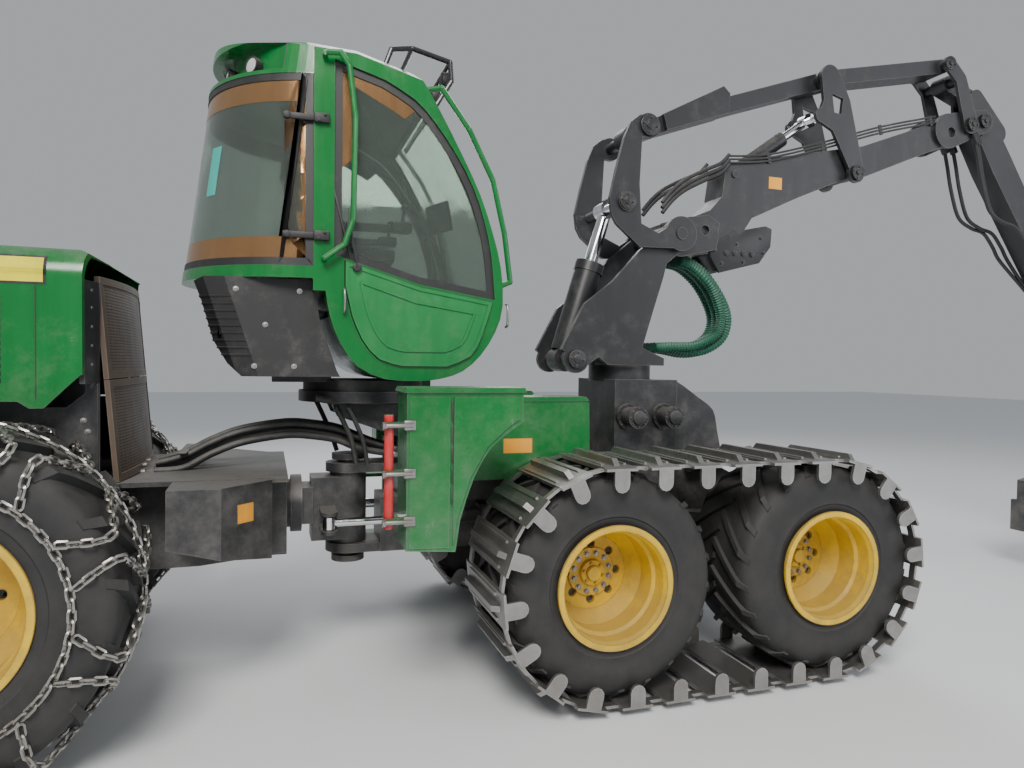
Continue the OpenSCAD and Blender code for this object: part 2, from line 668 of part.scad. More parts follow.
// Rear tyre with its lugs and the snow chain round it
module rear_tyre(s) color(rubber) placed() translate([rear_x, s * tyre_y, rear_z]) {
    carcass = rear_tyre_r - lug_h;
    half = rear_tyre_w / 2;
    rotate([90, 0, 0]) rotate_extrude() tyre_section(rear_rim_r + fit, carcass, half, 45);
    for (i = [0:lugs - 1], y = [-1, 1])
        rotate([0, (i + (y > 0 ? 0.5 : 0)) * 360 / lugs, 0])
            translate([0, y * half * 0.47, carcass - 40]) rotate([0, 0, y * 38])
                translate([-34, -half * 0.5, 0]) cube([68, half, lug_h + 34]);
    // Chain: crossings in a zigzag, and a ring on each sidewall
    step = 360 / chain_crossings;
    for (i = [0:chain_crossings - 1], y = [-1, 1])
        rotate([0, i * step, 0]) {
            translate([0, y * half * 0.5, rear_tyre_r - 26]) rotate([0, 0, y * (i % 2 == 0 ? 30 : -30)])
                translate([-chain_t / 2, -half * 0.58, 0]) cube([chain_t, half * 1.16, chain_t + 20]);
            translate([-chain_t / 2, y * (half + 4) - chain_t / 2, carcass * 0.72])
                cube([chain_t, chain_t, rear_tyre_r - carcass * 0.72 - 20]);
        }
    for (y = [-1, 1])
        translate([0, y * (half + 4), 0]) rotate([90, 0, 0]) difference() {
            cylinder(h = chain_t, r = carcass * 0.74, center = true);
            cylinder(h = chain_t + 2, r = carcass * 0.74 - chain_t, center = true);
        }
}

// Steering cylinders: barrels pinned in the front frame, rods in the joint piece's forks
steer_z = joint_z - 80;
steer_eye_x = 900;
steer_out_y = 330;
steer_rod_x = -150;
steer_r = 27;
steer_in_y = 330;
module steer_barrel(s) color(charcoal) placed() translate([joint_x, 0, steer_z])
    steer_part([steer_eye_x, s * steer_out_y], [steer_rod_x, s * steer_in_y]) difference() {
        union() {
            cylinder(h = 90, r = 52, center = true);
            translate([40, 0, 0]) rotate([0, 90, 0]) cylinder(h = 600, r = steer_r + 18);
        }
        cylinder(h = 100, r = 30 + fit, center = true);
        translate([90, 0, 0]) rotate([0, 90, 0]) cylinder(h = 600, r = steer_r + fit);
    }

module steer_rod(s) color(steel) placed() translate([joint_x, 0, steer_z])
    steer_part([steer_rod_x, s * steer_in_y], [steer_eye_x, s * steer_out_y]) {
        cylinder(h = 76, r = 42, center = true);
        translate([20, 0, 0]) rotate([0, 90, 0]) cylinder(h = 655, r = steer_r);
    }

module steer_part(p, q)
    translate([p[0], p[1], 0]) rotate([0, 0, atan2(q[1] - p[1], q[0] - p[0])]) children();

// Side view of the cab, from the roof's rear lip over the front arch and under the nose
cab_roof = smooth([[cab_x - 1150, cab_top + 40], [cab_x - 700, cab_top + 30],
    [cab_x - 345, cab_top + 15], [cab_x - 100, cab_top - 25], [cab_x + 100, cab_top - 135],
    [cab_x + 240, cab_top - 295], [cab_x + 360, cab_top - 485], [cab_x + 505, 3240],
    [cab_x + 615, 3020], [cab_x + 695, 2795], [cab_x + 750, 2585], [cab_x + 765, 2355],
    [cab_x + 720, 2190], [cab_x + 625, 2040], [cab_x + 510, 1940], [cab_x + 380, 1895],
    [cab_x + 240, 1880], [cab_x + 35, 1890], [cab_x - 125, 1965], [cab_x - 225, 2100],
    [cab_x - 285, 2255], [cab_x - 310, 2400]], 2);
cab_middle = [cab_x - 150, 2950];
post_back = cab_x - 380;
post_front = cab_x - 262;
cab_inner = 0.935;
floor_z = 2290;
sill_z = 2540;
shelf_z = 3640;
shelf_t = 24;
lip_z = 3840;
// The rear window leans forward by this angle, and the roof is rounded from side to side
lean_a = 7.6;
crown_r = 1500;
side_opening = concat([[post_front, 2612], [post_front, 3730]],
    smooth([[cab_x + 25, 3650], [cab_x + 205, 3555], [cab_x + 330, 3430], [cab_x + 460, 3255],
        [cab_x + 568, 3065], [cab_x + 640, 2865], [cab_x + 688, 2650], [cab_x + 712, 2385]], 2),
    [[cab_x + 235, 2462]]);
bin_outline = concat([[cab_x - 205, 2580], [cab_x - 205, 2435]],
    smooth([[cab_x - 165, 2260], [cab_x - 105, 2120], [cab_x - 5, 2005], [cab_x + 135, 1965]], 2),
    smooth([[cab_x + 410, 1965], [cab_x + 560, 2030], [cab_x + 635, 2160], [cab_x + 700, 2370]], 2),
    [[cab_x + 235, 2447]]);

function shrink(p, k) = [for (q = p) cab_middle + (q - cab_middle) * k];

module cab_outline() polygon(concat(cab_roof, [[post_back, 2400], [post_back, 2470],
    [cab_x - 1150, 2470]]));

// Round rear of the cab: an upright cylinder that leans forward above the sill
module lean(r, shift = 0)
    translate([post_back + shift, 0, sill_z]) rotate([0, lean_a, 0])
        translate([0, 0, -400]) cylinder(h = 2000, r = r, $fn = 96);

// What lies under the roof's crown, t below its skin
module crown(t) intersection() {
    crown_roll(-9, t);
    crown_roll(2, t);
    crown_roll(15, t);
}

module crown_roll(a, t)
    translate([cab_x - 330, 0, cab_top - crown_r]) rotate([0, 90 + a, 0])
        cylinder(h = 5000, r = crown_r - t, center = true, $fn = 200);

module cab_shell(t) intersection() {
    union() {
        translate([post_back, -cab_y + t, 1800]) cube([1400, cab_w - 2 * t, 2300]);
        lean(cab_y - t);
    }
    crown(t);
}

module cab_frame() color(green) placed() {
    difference() {
        intersection() {
            side(cab_w) cab_outline();
            cab_shell(0);
        }
        // Inside of the cab, above and below its floor
        difference() {
            intersection() {
                side(cab_w - 2 * cab_t) polygon(concat(shrink(cab_roof, cab_inner),
                    [[post_back - 100, 2400], [cab_x - 1060, 2400]]));
                cab_shell(cab_t);
            }
            box([post_back - 1, -cab_y, floor_z - 50], [cab_x + 1000, cab_y, floor_z]);
            // Back wall and shelf of the recess for the lamps
            intersection() {
                difference() {
                    lean(cab_y, lamp_in);
                    lean(cab_y - 40, lamp_in);
                }
                box([post_back - 900, -cab_y, shelf_z], [post_back - 10, cab_y, lip_z + 60]);
            }
            box([post_back - 900, -cab_y, shelf_z], [post_back - 10, cab_y, shelf_z + shelf_t]);
        }
        // Recess for the lamps under the roof's rear lip
        difference() {
            box([post_back - 900, -680, shelf_z + shelf_t], [post_back - 100, 680, lip_z]);
            lean(cab_y, lamp_in);
        }
        // Side windows, the door's opening, and the windows at front and rear
        side(200, -cab_y) polygon(side_opening);
        side(200, cab_y) door_outline(0);
        translate([0, -cab_y, 0]) side(2 * bin_in) polygon(bin_outline);
        box([cab_x + 50, -cab_y + 2 * cab_t, 2420], [cab_x + 900, cab_y - 2 * cab_t, 3600]);
        box([cab_x - 1400, -cab_y - 1, sill_z], [post_back, cab_y + 1, shelf_z]);
    }
    // Lower and upper thirds of the door's hinges
    for (z = hinge_z, h = [-56, 16])
        translate([post_front, cab_y + hinge_out, z + h]) {
            cylinder(h = 40, r = hinge_r);
            translate([-60, -hinge_out - 1, 0]) cube([60, hinge_out + 4, 40]);
        }
}

// How far the lamps' wall lies ahead of the window, and the bin's recess in the side
lamp_in = 130;
bin_in = 24;

// Hinges of the door, outside the rear post
hinge_r = 16;
hinge_out = 18;
hinge_z = [2480, 3420];

module door_outline(g)
    polygon(concat([[post_front + g, 2120 + g], [post_front + g, 3700 - 4 * g]],
        smooth([[cab_x + 10 - g, 3650 - g], [cab_x + 205 - g, 3545 - g], [cab_x + 330 - g, 3420 - g],
            [cab_x + 460 - g, 3245], [cab_x + 568 - g, 3055], [cab_x + 640 - g, 2855],
            [cab_x + 688 - g, 2640], [cab_x + 700 - g, 2390], [cab_x + 640 - g, 2200 + g]], 2),
        [[cab_x + 500, 2060 + g], [cab_x + 60, 2020 + g]]));

// Black moulded pan under the cab
pan_w = 1300;
module cab_pan() color(charcoal) placed() {
    difference() {
        union() {
            intersection() {
                side(pan_w) polygon([[cab_x - 1040, 2470 - fit], [cab_x - 990, 2330],
                    [cab_x - 930, 2110], [cab_x - 850, 1975], [cab_x - 770, 1900],
                    [cab_x - 215, 1900], [cab_x - 235, 1935], [cab_x - 290, 2100],
                    [cab_x - 340, 2255], [cab_x - 355, 2400 - fit], [post_back, 2400 - fit],
                    [post_back, 2470 - fit]]);
                // Corners cut in steps, leaning forward towards the bottom
                translate([cab_x, 0, 2470]) rotate([0, -18, 0]) translate([0, 0, -900])
                    linear_extrude(1200) polygon([[-1050, -300], [-1010, -480], [-930, -600],
                        [-820, -pan_w / 2], [400, -pan_w / 2], [400, pan_w / 2],
                        [-820, pan_w / 2], [-930, 600], [-1010, 480], [-1050, 300]]);
            }
            // Turntable plate and the legs of the pan
            translate([cab_x, 0, ring_z + fit]) cylinder(h = 72, r = 400);
            box([cab_x - 600, -300, 1860], [cab_x - 240, 300, 1910]);
        }
        box([cab_x - 900, -580, 2120], [post_back + 40, 580, 2500]);
    }
}

// Panes: curved rear window, right side window and windscreen
module cab_windows() color("#8fa3a0") placed() {
    intersection() {
        difference() {
            lean(cab_y - 10);
            lean(cab_y - 10 - glass_t);
        }
        box([post_back - 900, -cab_y, sill_z + fit], [post_back - fit, cab_y, shelf_z - fit]);
    }
    side(glass_t, -cab_y + cab_t / 2) polygon(shrink_about(side_opening, 0.998));
    intersection() {
        difference() {
            side(cab_w - 4 * cab_t - 2 * fit) polygon(shrink(cab_roof, 0.985));
            side(cab_w) polygon(shrink(cab_roof, 0.985 - 0.014));
        }
        box([cab_x + 51, -cab_y + 2 * cab_t + fit, 2420 + fit],
            [cab_x + 900, cab_y - 2 * cab_t - fit, 3600 - fit]);
    }
}

function shrink_about(p, k) = let (c = [cab_x + 200, 3000]) [for (q = p) c + (q - c) * k];

module seat() color("#26272a") placed() {
    translate([cab_x - 60, 0, 0]) {
        box([-260, -240, 2640], [260, 240, 2760]);
        side(440) polygon([[-255, 2750], [-130, 2750], [-250, 3460], [-350, 3440]]);
    }
    translate([cab_x - 60, 0, floor_z + fit]) cylinder(h = 360, r = 120);
}

module storage_bin() color("#2e9a4c") placed()
    side(34, -cab_y + bin_in - 17 - fit) polygon(shrink_to([cab_x + 240, 2230], bin_outline, 0.985));

function shrink_to(c, p, k) = [for (q = p) c + (q - c) * k];

// Round lamps under the roof's rear lip, and two on the guard over the windscreen
lamp_r = 56;
lamp_z = 3745;
guard_y = 300;
guard_front = [cab_x + 520, 3990];
module cab_lamps() color("#d8d8d2") placed() {
    for (a = [-38, -13, 13, 38])
        translate([post_back + lamp_in, 0, sill_z]) rotate([0, lean_a, 0])
            translate([0, 0, (lamp_z - sill_z) / cos(lean_a) - cab_y * tan(lean_a)])
                rotate([0, 0, 180 + a])
                translate([cab_y + fit, 0, 0]) rotate([0, 90, 0]) cylinder(h = 50, r = lamp_r);
    for (y = [-0.55, 0.55])
        translate([guard_front[0] - 30, y * guard_y, guard_front[1] - rail_r - fit - 60])
            rotate([0, 90, 0]) cylinder(h = 60, r = 60);
}

// A tube along the given points in a plane at y, with a rounded knee at each
module tube(p, y, r)
    for (i = [0:len(p) - 2]) {
        rod_between(p[i], p[i + 1], r, 0, norm(p[i + 1] - p[i]), y, $fn = 12 - i % 2);
        translate([p[i + 1][0], y, p[i + 1][1]]) sphere(r + 1, $fn = 12);
    }

// Rails outside the cab: a grab rail behind the right window, a rail on each front post, and
// the guard that carries two lamps over the windscreen
rail_r = 17;
rail_off = 55;
module cab_rails() color(charcoal) placed() {
    tube([[cab_x - 320, 3740], [cab_x - 235, 3750], [cab_x - 185, 3680], [cab_x - 150, 3395],
        [cab_x - 162, 2805], [cab_x - 210, 2665], [cab_x - 320, 2580]], -cab_y - rail_off, rail_r);
    for (p = [[cab_x - 320, 3740], [cab_x - 320, 2580]])
        cross(p, rail_r - 2, rail_off - fit, -cab_y - fit - (rail_off - fit) / 2);
    difference() {
        for (s = [-1, 1]) {
            tube([[cab_x + 180, 3610], [cab_x + 370, 3655], [cab_x + 545, 3425],
                [cab_x + 700, 3130], [cab_x + 780, 2800], [cab_x + 820, 2505],
                [cab_x + 700, 2450]], s * (cab_y - 30), rail_r);
            tube([[cab_x + 45, 3780], [cab_x + 130, 4020], [cab_x + 265, 4045],
                guard_front, [cab_x + 530, 3865], [cab_x + 310, 3500]],
                s * guard_y, rail_r);
        }
        intersection() {
            side(cab_w + 2 * fit) polygon(shrink(cab_roof, 1.0003));
            cab_shell(-fit);
        }
    }
    for (p = [[cab_x + 265, 4045], guard_front])
        cross(p, rail_r - 2, 2 * guard_y);
}

// Door on the left side
module cab_door() color(green) placed() {
    difference() {
        side(cab_t - 10, cab_y - cab_t / 2) door_outline(door_gap);
        side(200, cab_y) polygon(shrink_about(side_opening, 0.9));
    }
    for (z = hinge_z)
        translate([post_front, cab_y + hinge_out, z - 16 + fit]) {
            cylinder(h = 32 - 2 * fit, r = hinge_r);
            translate([0, -hinge_out - 6, 0]) cube([90, hinge_out + 10, 32 - 2 * fit]);
        }
}

module door_window() color("#8fa3a0") placed()
    side(glass_t, cab_y - cab_t / 2) polygon(shrink_about(side_opening, 0.898));

// Pillar: two side plates joined by a back and a base ring
module pillar() color(charcoal) placed() {
    inside = pillar_w - 80;
    difference() {
        pair(40, inside) union() {
            polygon([lift_low + [-115, 70], at_slew([-420, 2430]), at_slew([-195, 2605]),
                at_slew([15, 2835]), boom_pin + [-115, 30], boom_pin, boom_pin + [95, -70],
                at_slew([240, 2750]), at_slew([215, 2650]), at_slew([135, 2400]),
                at_slew([48, 2120]), at_slew([230, 2045]), at_slew([230, 1990]),
                at_slew([-230, 1990]), at_slew([-300, 2050]), lift_low + [60, -60]]);
            translate(boom_pin) circle(115);
            translate(lift_low) circle(100);
        }
        cross(boom_pin, pin_r + fit, pillar_w * 2);
    }
    side(inside + 2) polygon([at_slew([-230, 1990]), at_slew([230, 1990]), at_slew([230, 2045]),
        at_slew([60, 2045]), at_slew([60, 2120]), at_slew([180, 2560]), at_slew([150, 2570]),
        at_slew([20, 2130]), at_slew([20, 2045]), at_slew([-230, 2045])]);
    translate([slew_x, 0, 1980 + fit]) cylinder(h = 65, r = 235);
    translate([slew_x, 0, 1790]) cylinder(h = 210, r = 179);
    cross(lift_low, pin_r, pillar_w + 30);
}

// Lift cylinder between the pillar and the rocker
module lift_barrel() color(charcoal) placed() {
    difference() {
        union() {
            cross(lift_low, 92, 170);
            rod_between(lift_low, lift_eye, 102, 60, 730);
            rod_between(lift_low, lift_eye, 112, 690, 760);
        }
        cross(lift_low, pin_r + fit, 200);
        rod_between(lift_low, lift_eye, 50 + fit, 190, 800);
    }
}

module lift_rod() color(steel) placed() {
    rod_between(lift_low, lift_eye, 50, 520, norm(lift_eye - lift_low) - 50);
    cross(lift_eye, 75, 150);
    cross(lift_eye, pin_r, rocker_in - 2 * side_gap);
}

// Rocker: two plates from the boom pin up to the top rod
rocker_in = pillar_w + 2 * side_gap + 30;
module rocker() color(charcoal) placed() {
    pair(34, rocker_in) union() {
        polygon([rocker_top + [-75, 70], rocker_top + [-150, 10], rocker_top + [-200, -110],
            rocker_top + [-255, -320], lift_eye + [-130, 20], lift_eye + [-115, -95],
            lift_eye + [-75, -165], boom_pin + [-345, -120], boom_pin + [-60, -112],
            boom_pin + [0, 112], boom_pin + [-195, -10], lift_eye + [125, -150],
            lift_eye + [105, 135], rocker_top + [-55, -90], rocker_top + [40, -76],
            rocker_top + [30, 84]]);
        translate(rocker_top) circle(90);
        translate(boom_pin) circle(128);
    }
    cross(boom_pin, pin_r, rocker_in + 90);
    for (s = [-1, 1])
        cross(lift_eye, 70, 20, s * (rocker_in / 2 + 43));
    cross(rocker_top, pin_r, rocker_in + 90);
}

// Main boom: welded box with cheeks at its root and its tip
module boom() color(charcoal) placed() {
    root = boom_pin;
    outer = [root + [-80, -90], root + [95, -140], root + [420, -90], root + [685, 95],
        root + [760, 205], root + [1190, 400], root + [1725, 620], root + [1900, 645],
        root + [2695, 965], root + [2870, 1010], root + [2890, 1272], root + [1850, 890],
        root + [1180, 752], root + [550, 622], root + [515, 590], root + [480, 355],
        root + [375, 240], root + [150, 150], root + [-60, 100]];
    inner = [root + [620, 130], root + [1185, 425], root + [1890, 672], root + [2780, 1015],
        root + [2780, 1205], root + [1855, 868], root + [1190, 730], root + [960, 660],
        root + [640, 400]];
    difference() {
        union() {
            difference() {
                side(boom_w) polygon(outer);
                side(boom_w - 2 * boom_t) polygon(inner);
            }
            // Cheeks at the root and at the tip
            pair(30, boom_w - 1) {
                difference() {
                    polygon([root + [-60, -100], root + [95, -140], root + [420, -70],
                        root + [445, 140], root + [340, 195], root + [175, 170],
                        root + [-60, 105]]);
                    translate(root + [315, 75]) circle(38);
                }
                difference() {
                    bar(root + [2760, 1110], stick_pin, 150, 100);
                    translate(root + [2790, 1100]) circle(45);
                }
            }
            cross(root, 96, 2 * side_gap + pillar_w - 110);
        }
        cross(boom_pin, pin_r + fit, boom_w * 3);
        // Slot in the top for the fold cylinder
        side(fold_slot) bar(fold_low, lerp(fold_low, fold_eye, 0.62), 90, 100);
    }
    cross(link_low, pin_r, boom_w + 160);
    cross(end_low, pin_r, boom_w + 160);
    cross(stick_pin, pin_r, boom_w + 90);
    cross(fold_low, fold_pin_r, boom_w + 30);
    for (s = [-1, 1])
        cross(fold_low, 58, 14, s * (fold_slot / 2 - 6));
}

module top_rod() color(charcoal) placed() {
    difference() {
        union() {
            cross(rocker_top, 82, 170);
            side(140) polygon([rocker_top + [0, -60], rocker_top + [270, 60],
                rocker_top + [930, 300], link_top + [20, -62], link_top + [-20, 62],
                rocker_top + [835, 400], rocker_top + [240, 180], rocker_top + [0, 70]]);
            cross(link_top, 70, 150);
            side(220) polygon([rocker_top + [245, 185], rocker_top + [775, 462],
                rocker_top + [835, 412], rocker_top + [825, 262], rocker_top + [280, 66]]);
        }
        cross(rocker_top, pin_r + fit, 400);
        cross(link_top, pin_r + fit, 400);
    }
}

module mid_link() color(charcoal) placed() {
    inside = boom_w + 60 + 2 * side_gap;
    difference() {
        pair(30, inside) union() {
            polygon([link_top + [-85, -20], link_top + [-62, -200], fold_eye + [-50, -40],
                link_low + [-250, 320], link_low + [-75, 25], link_low + [75, 15],
                link_low + [0, 290], link_top + [200, -170], link_top + [85, 40]]);
            translate(link_low) circle(80);
            translate(link_top) circle(90);
            translate(fold_eye) circle(62);
        }
        cross(link_low, pin_r + fit, 900);
        side(900) polygon([link_top + [20, -140], link_top + [130, -170], link_top + [115, -300],
            link_top + [45, -290]]);
    }
    cross(link_top, pin_r, inside + 40);
}

module link_rod() color(charcoal) placed() {
    difference() {
        union() {
            pair(30, 170) bar(link_top, link_top + [150, 40], 70, 60);
            side(230) bar(link_top + [150, 40], end_high, 60, 60);
            cross(end_high, pin_r, boom_w + 60);
        }
        cross(link_top, pin_r + fit, 900);
        side(170 - 1) translate(link_top) circle(110);
    }
}

fold_pin_r = 30;
fold_slot = 160;
module fold_barrel() color(charcoal) placed() {
    l = norm(fold_eye - fold_low);
    difference() {
        union() {
            cross(fold_low, 62, 90);
            rod_between(fold_low, fold_eye, 62, 40, 640);
        }
        cross(fold_low, fold_pin_r + fit, 200);
        rod_between(fold_low, fold_eye, 35 + fit, 120, 700);
    }
}

module fold_rod() color(steel) placed() {
    l = norm(fold_eye - fold_low);
    rod_between(fold_low, fold_eye, 35, 250, l - 30);
    cross(fold_eye, 58, 90);
    cross(fold_eye, fold_pin_r, boom_w + 60);
}

module end_link() color(charcoal) placed() {
    inside = boom_w + 60 + 2 * side_gap;
    difference() {
        pair(28, inside) union() {
            bar(end_low, end_tie, 80, 60);
            bar(end_tie, end_high, 60, 60);
        }
        cross(end_low, pin_r + fit, 900);
    }
    cross(end_tie, pin_r, inside + 10);
}

module tie_link() color(charcoal) placed()
    difference() {
        side(140) bar(end_tie, stick_tie, 70, 66);
        cross(end_tie, pin_r + fit, 900);
    }

// Turns a drawing made along the level to the slope of the stick
module on_stick() translate([stick_start[0], 0, stick_start[1]]) rotate([0, stick_drop, 0]) children();

module stick() color(charcoal) placed() {
    difference() {
        union() {
            on_stick() side(stick_w) polygon([[20, -120], [350, -140], [stick_l, -105],
                [stick_l, 105], [350, 130], [60, 128], [0, 90]]);
            cross(stick_pin, 85, boom_w - 2 * side_gap);
            pair(28, 140 + 2 * side_gap) {
                bar(stick_pin, stick_tie, 85, 75);
                bar(stick_tie, stick_start + [150, -10], 75, 90);
            }
        }
        on_stick() side(stick_w - 2 * boom_t) polygon([[300, -90], [stick_l + 1, -90],
            [stick_l + 1, 90], [300, 90]]);
        cross(stick_pin, pin_r + fit, 900);
    }
    // Wear pads at the mouth
    for (v = [-90, 84 + fit])
        on_stick() translate([stick_l - 90, -40, v]) cube([80, 80, 6 - fit]);
}

fork_gap = 84;
module extension() color(charcoal) placed() {
    inner_w = stick_w - 2 * boom_t - 2 * run;
    reach = stick_l + nose_l;
    difference() {
        union() {
            on_stick() side(inner_w) polygon([[800, -84], [reach - 120, -84], [reach - 60, -60],
                [reach - 60, 60], [reach - 120, 84], [800, 84]]);
            side(inner_w) translate(tip_at) circle(80);
        }
        on_stick() side(inner_w - 24) polygon([[820, -72], [reach - 260, -72],
            [reach - 260, 72], [820, 72]]);
        side(fork_gap) translate(tip_at) circle(150);
    }
    cross(tip_at, pin_r, inner_w);
}

module swing_link() color(charcoal) placed() {
    difference() {
        side(fork_gap - 2 * side_gap) bar(tip_at, [tip_at[0], rotator_top], 72, 60);
        cross(tip_at, pin_r + fit, 200);
    }
    translate([tip_at[0], 0, rotator_top]) rotate([0, 90, 0]) cylinder(h = 230, r = sway_r, center = true);
}

sway_r = 34;
module rotator() color(charcoal) placed() translate([tip_at[0], 0, rotator_top]) {
    difference() {
        for (s = [-1, 1])
            translate([s * 85 - 20, -60, -150]) cube([40, 120, 205]);
        rotate([0, 90, 0]) cylinder(h = 400, r = sway_r + fit, center = true);
    }
    translate([0, 0, -rotator_h + 40]) cylinder(h = rotator_h - 180, r = 130);
}

module tilt_frame() color(charcoal) placed() {
    top = rotator_top - rotator_h;
    arm_in = head_w + 2 * side_gap + 30;
    translate([tip_at[0], 0, top]) cylinder(h = 40 - fit, r = 150);
    box([tip_at[0] - 150, -arm_in / 2 - 40, top - 60], [tip_at[0] + 150, arm_in / 2 + 40, top + 1]);
    difference() {
        pair(40, arm_in) union() {
            polygon([[tip_at[0] - 150, top], [tip_at[0] + 150, top], tilt_pin + [80, 30],
                tilt_pin + [-80, -30]]);
            translate(tilt_pin) circle(90);
        }
        cross(tilt_pin, 60 + fit, 2 * arm_in);
    }
}

module head_body() color(charcoal) placed() {
    top = tilt_pin[1] + 60;
    low = top - spine_h;
    side(head_w) polygon([[head_rear, low], [head_rear + head_l, low + 60],
        [head_rear + head_l, top - 120], [head_rear + head_l - 200, top - 20],
        [head_rear + 300, top], [head_rear, top - 60]]);
    box([head_rear, -head_w / 2 - 60, low - 260], [head_rear + 60, head_w / 2 + 60, low + 40]);
    cross(tilt_pin, 60, head_w + 2 * side_gap + 110);
    // Brackets and pins for the knives and the feed arms
    for (s = [-1, 1]) {
        arm_bracket(knife_at, s, knife_w);
        arm_bracket(feed_at, s, feed_w);
    }
}

// Pin along the head between two lugs on its side
arm_pin_r = 28;
arm_y = head_w / 2 + 62;
arm_z = tilt_pin[1] - 60;
knife_at = head_rear + head_l * 0.915;
knife_w = 90;
feed_at = head_rear + head_l * 0.42;
feed_w = 180;
module arm_bracket(x, s, w) {
    translate([x - 26, s * arm_y, arm_z]) rotate([0, 90, 0]) cylinder(h = w + 52, r = arm_pin_r);
    for (e = [x - 26, x + w + run])
        box([e, s > 0 ? head_w / 2 - 1 : -arm_y - 30, arm_z - 45],
            [e + 26 - run, s > 0 ? arm_y + 30 : -head_w / 2 + 1, arm_z + 45]);
}

module knife(s) color(steel) placed() {
    translate([knife_at, s * arm_y, arm_z]) rotate([90, 0, 90]) difference() {
        union() {
            linear_extrude(knife_w) difference() {
                translate([s * 20, -170]) circle(250);
                translate([-s * 20, -190]) circle(200);
                translate([s > 0 ? -500 : 0, -500]) square([500, 1000]);
            }
            cylinder(h = knife_w, r = 56);
        }
        translate([0, 0, -1]) cylinder(h = knife_w + 2, r = arm_pin_r + fit);
    }
}

module feed_arm(s) color(charcoal) placed() {
    difference() {
        union() {
            translate([feed_at, s * arm_y, arm_z]) rotate([90, 0, 90]) cylinder(h = feed_w, r = 50);
            box([feed_at + 20, s * arm_y - 30, arm_z - 330], [feed_at + 160, s * arm_y + 30, arm_z]);
        }
        translate([feed_at - 1, s * arm_y, arm_z]) rotate([0, 90, 0])
            cylinder(h = feed_w + 2, r = arm_pin_r + fit);
    }
    translate([feed_at + 90, s * (arm_y + 50), arm_z - 370])
        cylinder(h = roller_h * 0.6, r = roller_r * 0.7);
}

front_frame();
frame_neck();
cab_stand();
side_boxes();
slew_housing();
bogie_beam(-1);  // bogie_beam_right
bogie_rims(-1);  // bogie_rims_right
bogie_tyres(-1);  // bogie_tyres_right
track(-1);  // track_right
bogie_beam(1);  // bogie_beam_left
bogie_rims(1);  // bogie_rims_left
bogie_tyres(1);  // bogie_tyres_left
track(1);  // track_left
steer_knuckle();
rear_frame();
engine_block();
hood();
side_panels();
radiator_guard();
rear_rim(-1);  // rear_rim_right
rear_tyre(-1);  // rear_tyre_right
rear_rim(1);  // rear_rim_left
rear_tyre(1);  // rear_tyre_left
steer_barrel(-1);  // steer_barrel_right
steer_rod(-1);  // steer_rod_right
steer_barrel(1);  // steer_barrel_left
steer_rod(1);  // steer_rod_left
cab_frame();
cab_pan();
cab_windows();
seat();
storage_bin();
cab_lamps();
cab_rails();
cab_door();
door_window();
pillar();
lift_barrel();
lift_rod();
rocker();
boom();
top_rod();
mid_link();
link_rod();
fold_barrel();
fold_rod();
end_link();
tie_link();
stick();
extension();
swing_link();
rotator();
tilt_frame();
head_body();
knife(1);  // knife_left
knife(-1);  // knife_right
feed_arm(1);  // feed_arm_left
feed_arm(-1);  // feed_arm_right
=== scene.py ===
import json
from math import copysign, cos, hypot, pi, radians, sin, tan
import bpy
from mathutils import Matrix, Vector


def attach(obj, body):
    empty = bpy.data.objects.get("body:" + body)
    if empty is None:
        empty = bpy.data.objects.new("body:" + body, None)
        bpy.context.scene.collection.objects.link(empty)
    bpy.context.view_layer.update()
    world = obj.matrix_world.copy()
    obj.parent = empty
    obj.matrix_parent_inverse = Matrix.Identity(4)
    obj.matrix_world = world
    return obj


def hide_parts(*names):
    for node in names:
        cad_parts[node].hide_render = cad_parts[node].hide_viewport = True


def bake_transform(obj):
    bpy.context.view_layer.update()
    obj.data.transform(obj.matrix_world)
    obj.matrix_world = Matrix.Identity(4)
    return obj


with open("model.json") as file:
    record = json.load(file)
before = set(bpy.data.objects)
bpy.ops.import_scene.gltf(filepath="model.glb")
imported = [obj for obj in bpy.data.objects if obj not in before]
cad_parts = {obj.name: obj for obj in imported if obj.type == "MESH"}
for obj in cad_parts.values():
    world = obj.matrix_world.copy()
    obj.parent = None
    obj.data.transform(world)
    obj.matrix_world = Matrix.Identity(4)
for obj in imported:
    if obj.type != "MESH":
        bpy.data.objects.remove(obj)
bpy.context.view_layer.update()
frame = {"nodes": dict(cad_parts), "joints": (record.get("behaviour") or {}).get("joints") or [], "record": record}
nodes = frame["nodes"]
slotOf = {part["node"]: part["material_slot"] for part in frame["record"]["subparts"]}
pinAt = {joint["name"]: Vector(joint["pos_m"]) for joint in frame["joints"] if "pos_m" in joint}
midX = -pinAt["bogie_right_tilt"].x  # the drawing's zero lies under the bogie pivots
bpy.ops.object.select_all(action="DESELECT")
print("frame loaded")

# Shader groups that the materials share


def newGroup(name, inputs, outputs):
    group = bpy.data.node_groups.new(name, "ShaderNodeTree")
    for label, kind, value in inputs:
        socket = group.interface.new_socket(name=label, in_out="INPUT", socket_type="NodeSocket" + kind)
        socket.default_value = value
    for label, kind in outputs:
        group.interface.new_socket(name=label, in_out="OUTPUT", socket_type="NodeSocket" + kind)
    return group, group.nodes.new("NodeGroupInput"), group.nodes.new("NodeGroupOutput")


def setInputs(item, values):
    for label, value in values.items():
        item.inputs[label].default_value = value


def mathNode(tree, operation, a, b=None, clamp=False):
    item = tree.nodes.new("ShaderNodeMath")
    item.operation = operation
    item.use_clamp = clamp
    for place, value in enumerate((a, b)):
        if value is None:
            continue
        if isinstance(value, (int, float)):
            item.inputs[place].default_value = value
        else:
            tree.links.new(value, item.inputs[place])
    return item.outputs[0]


def plus(tree, a, b, clamp=False):
    return mathNode(tree, "ADD", a, b, clamp)


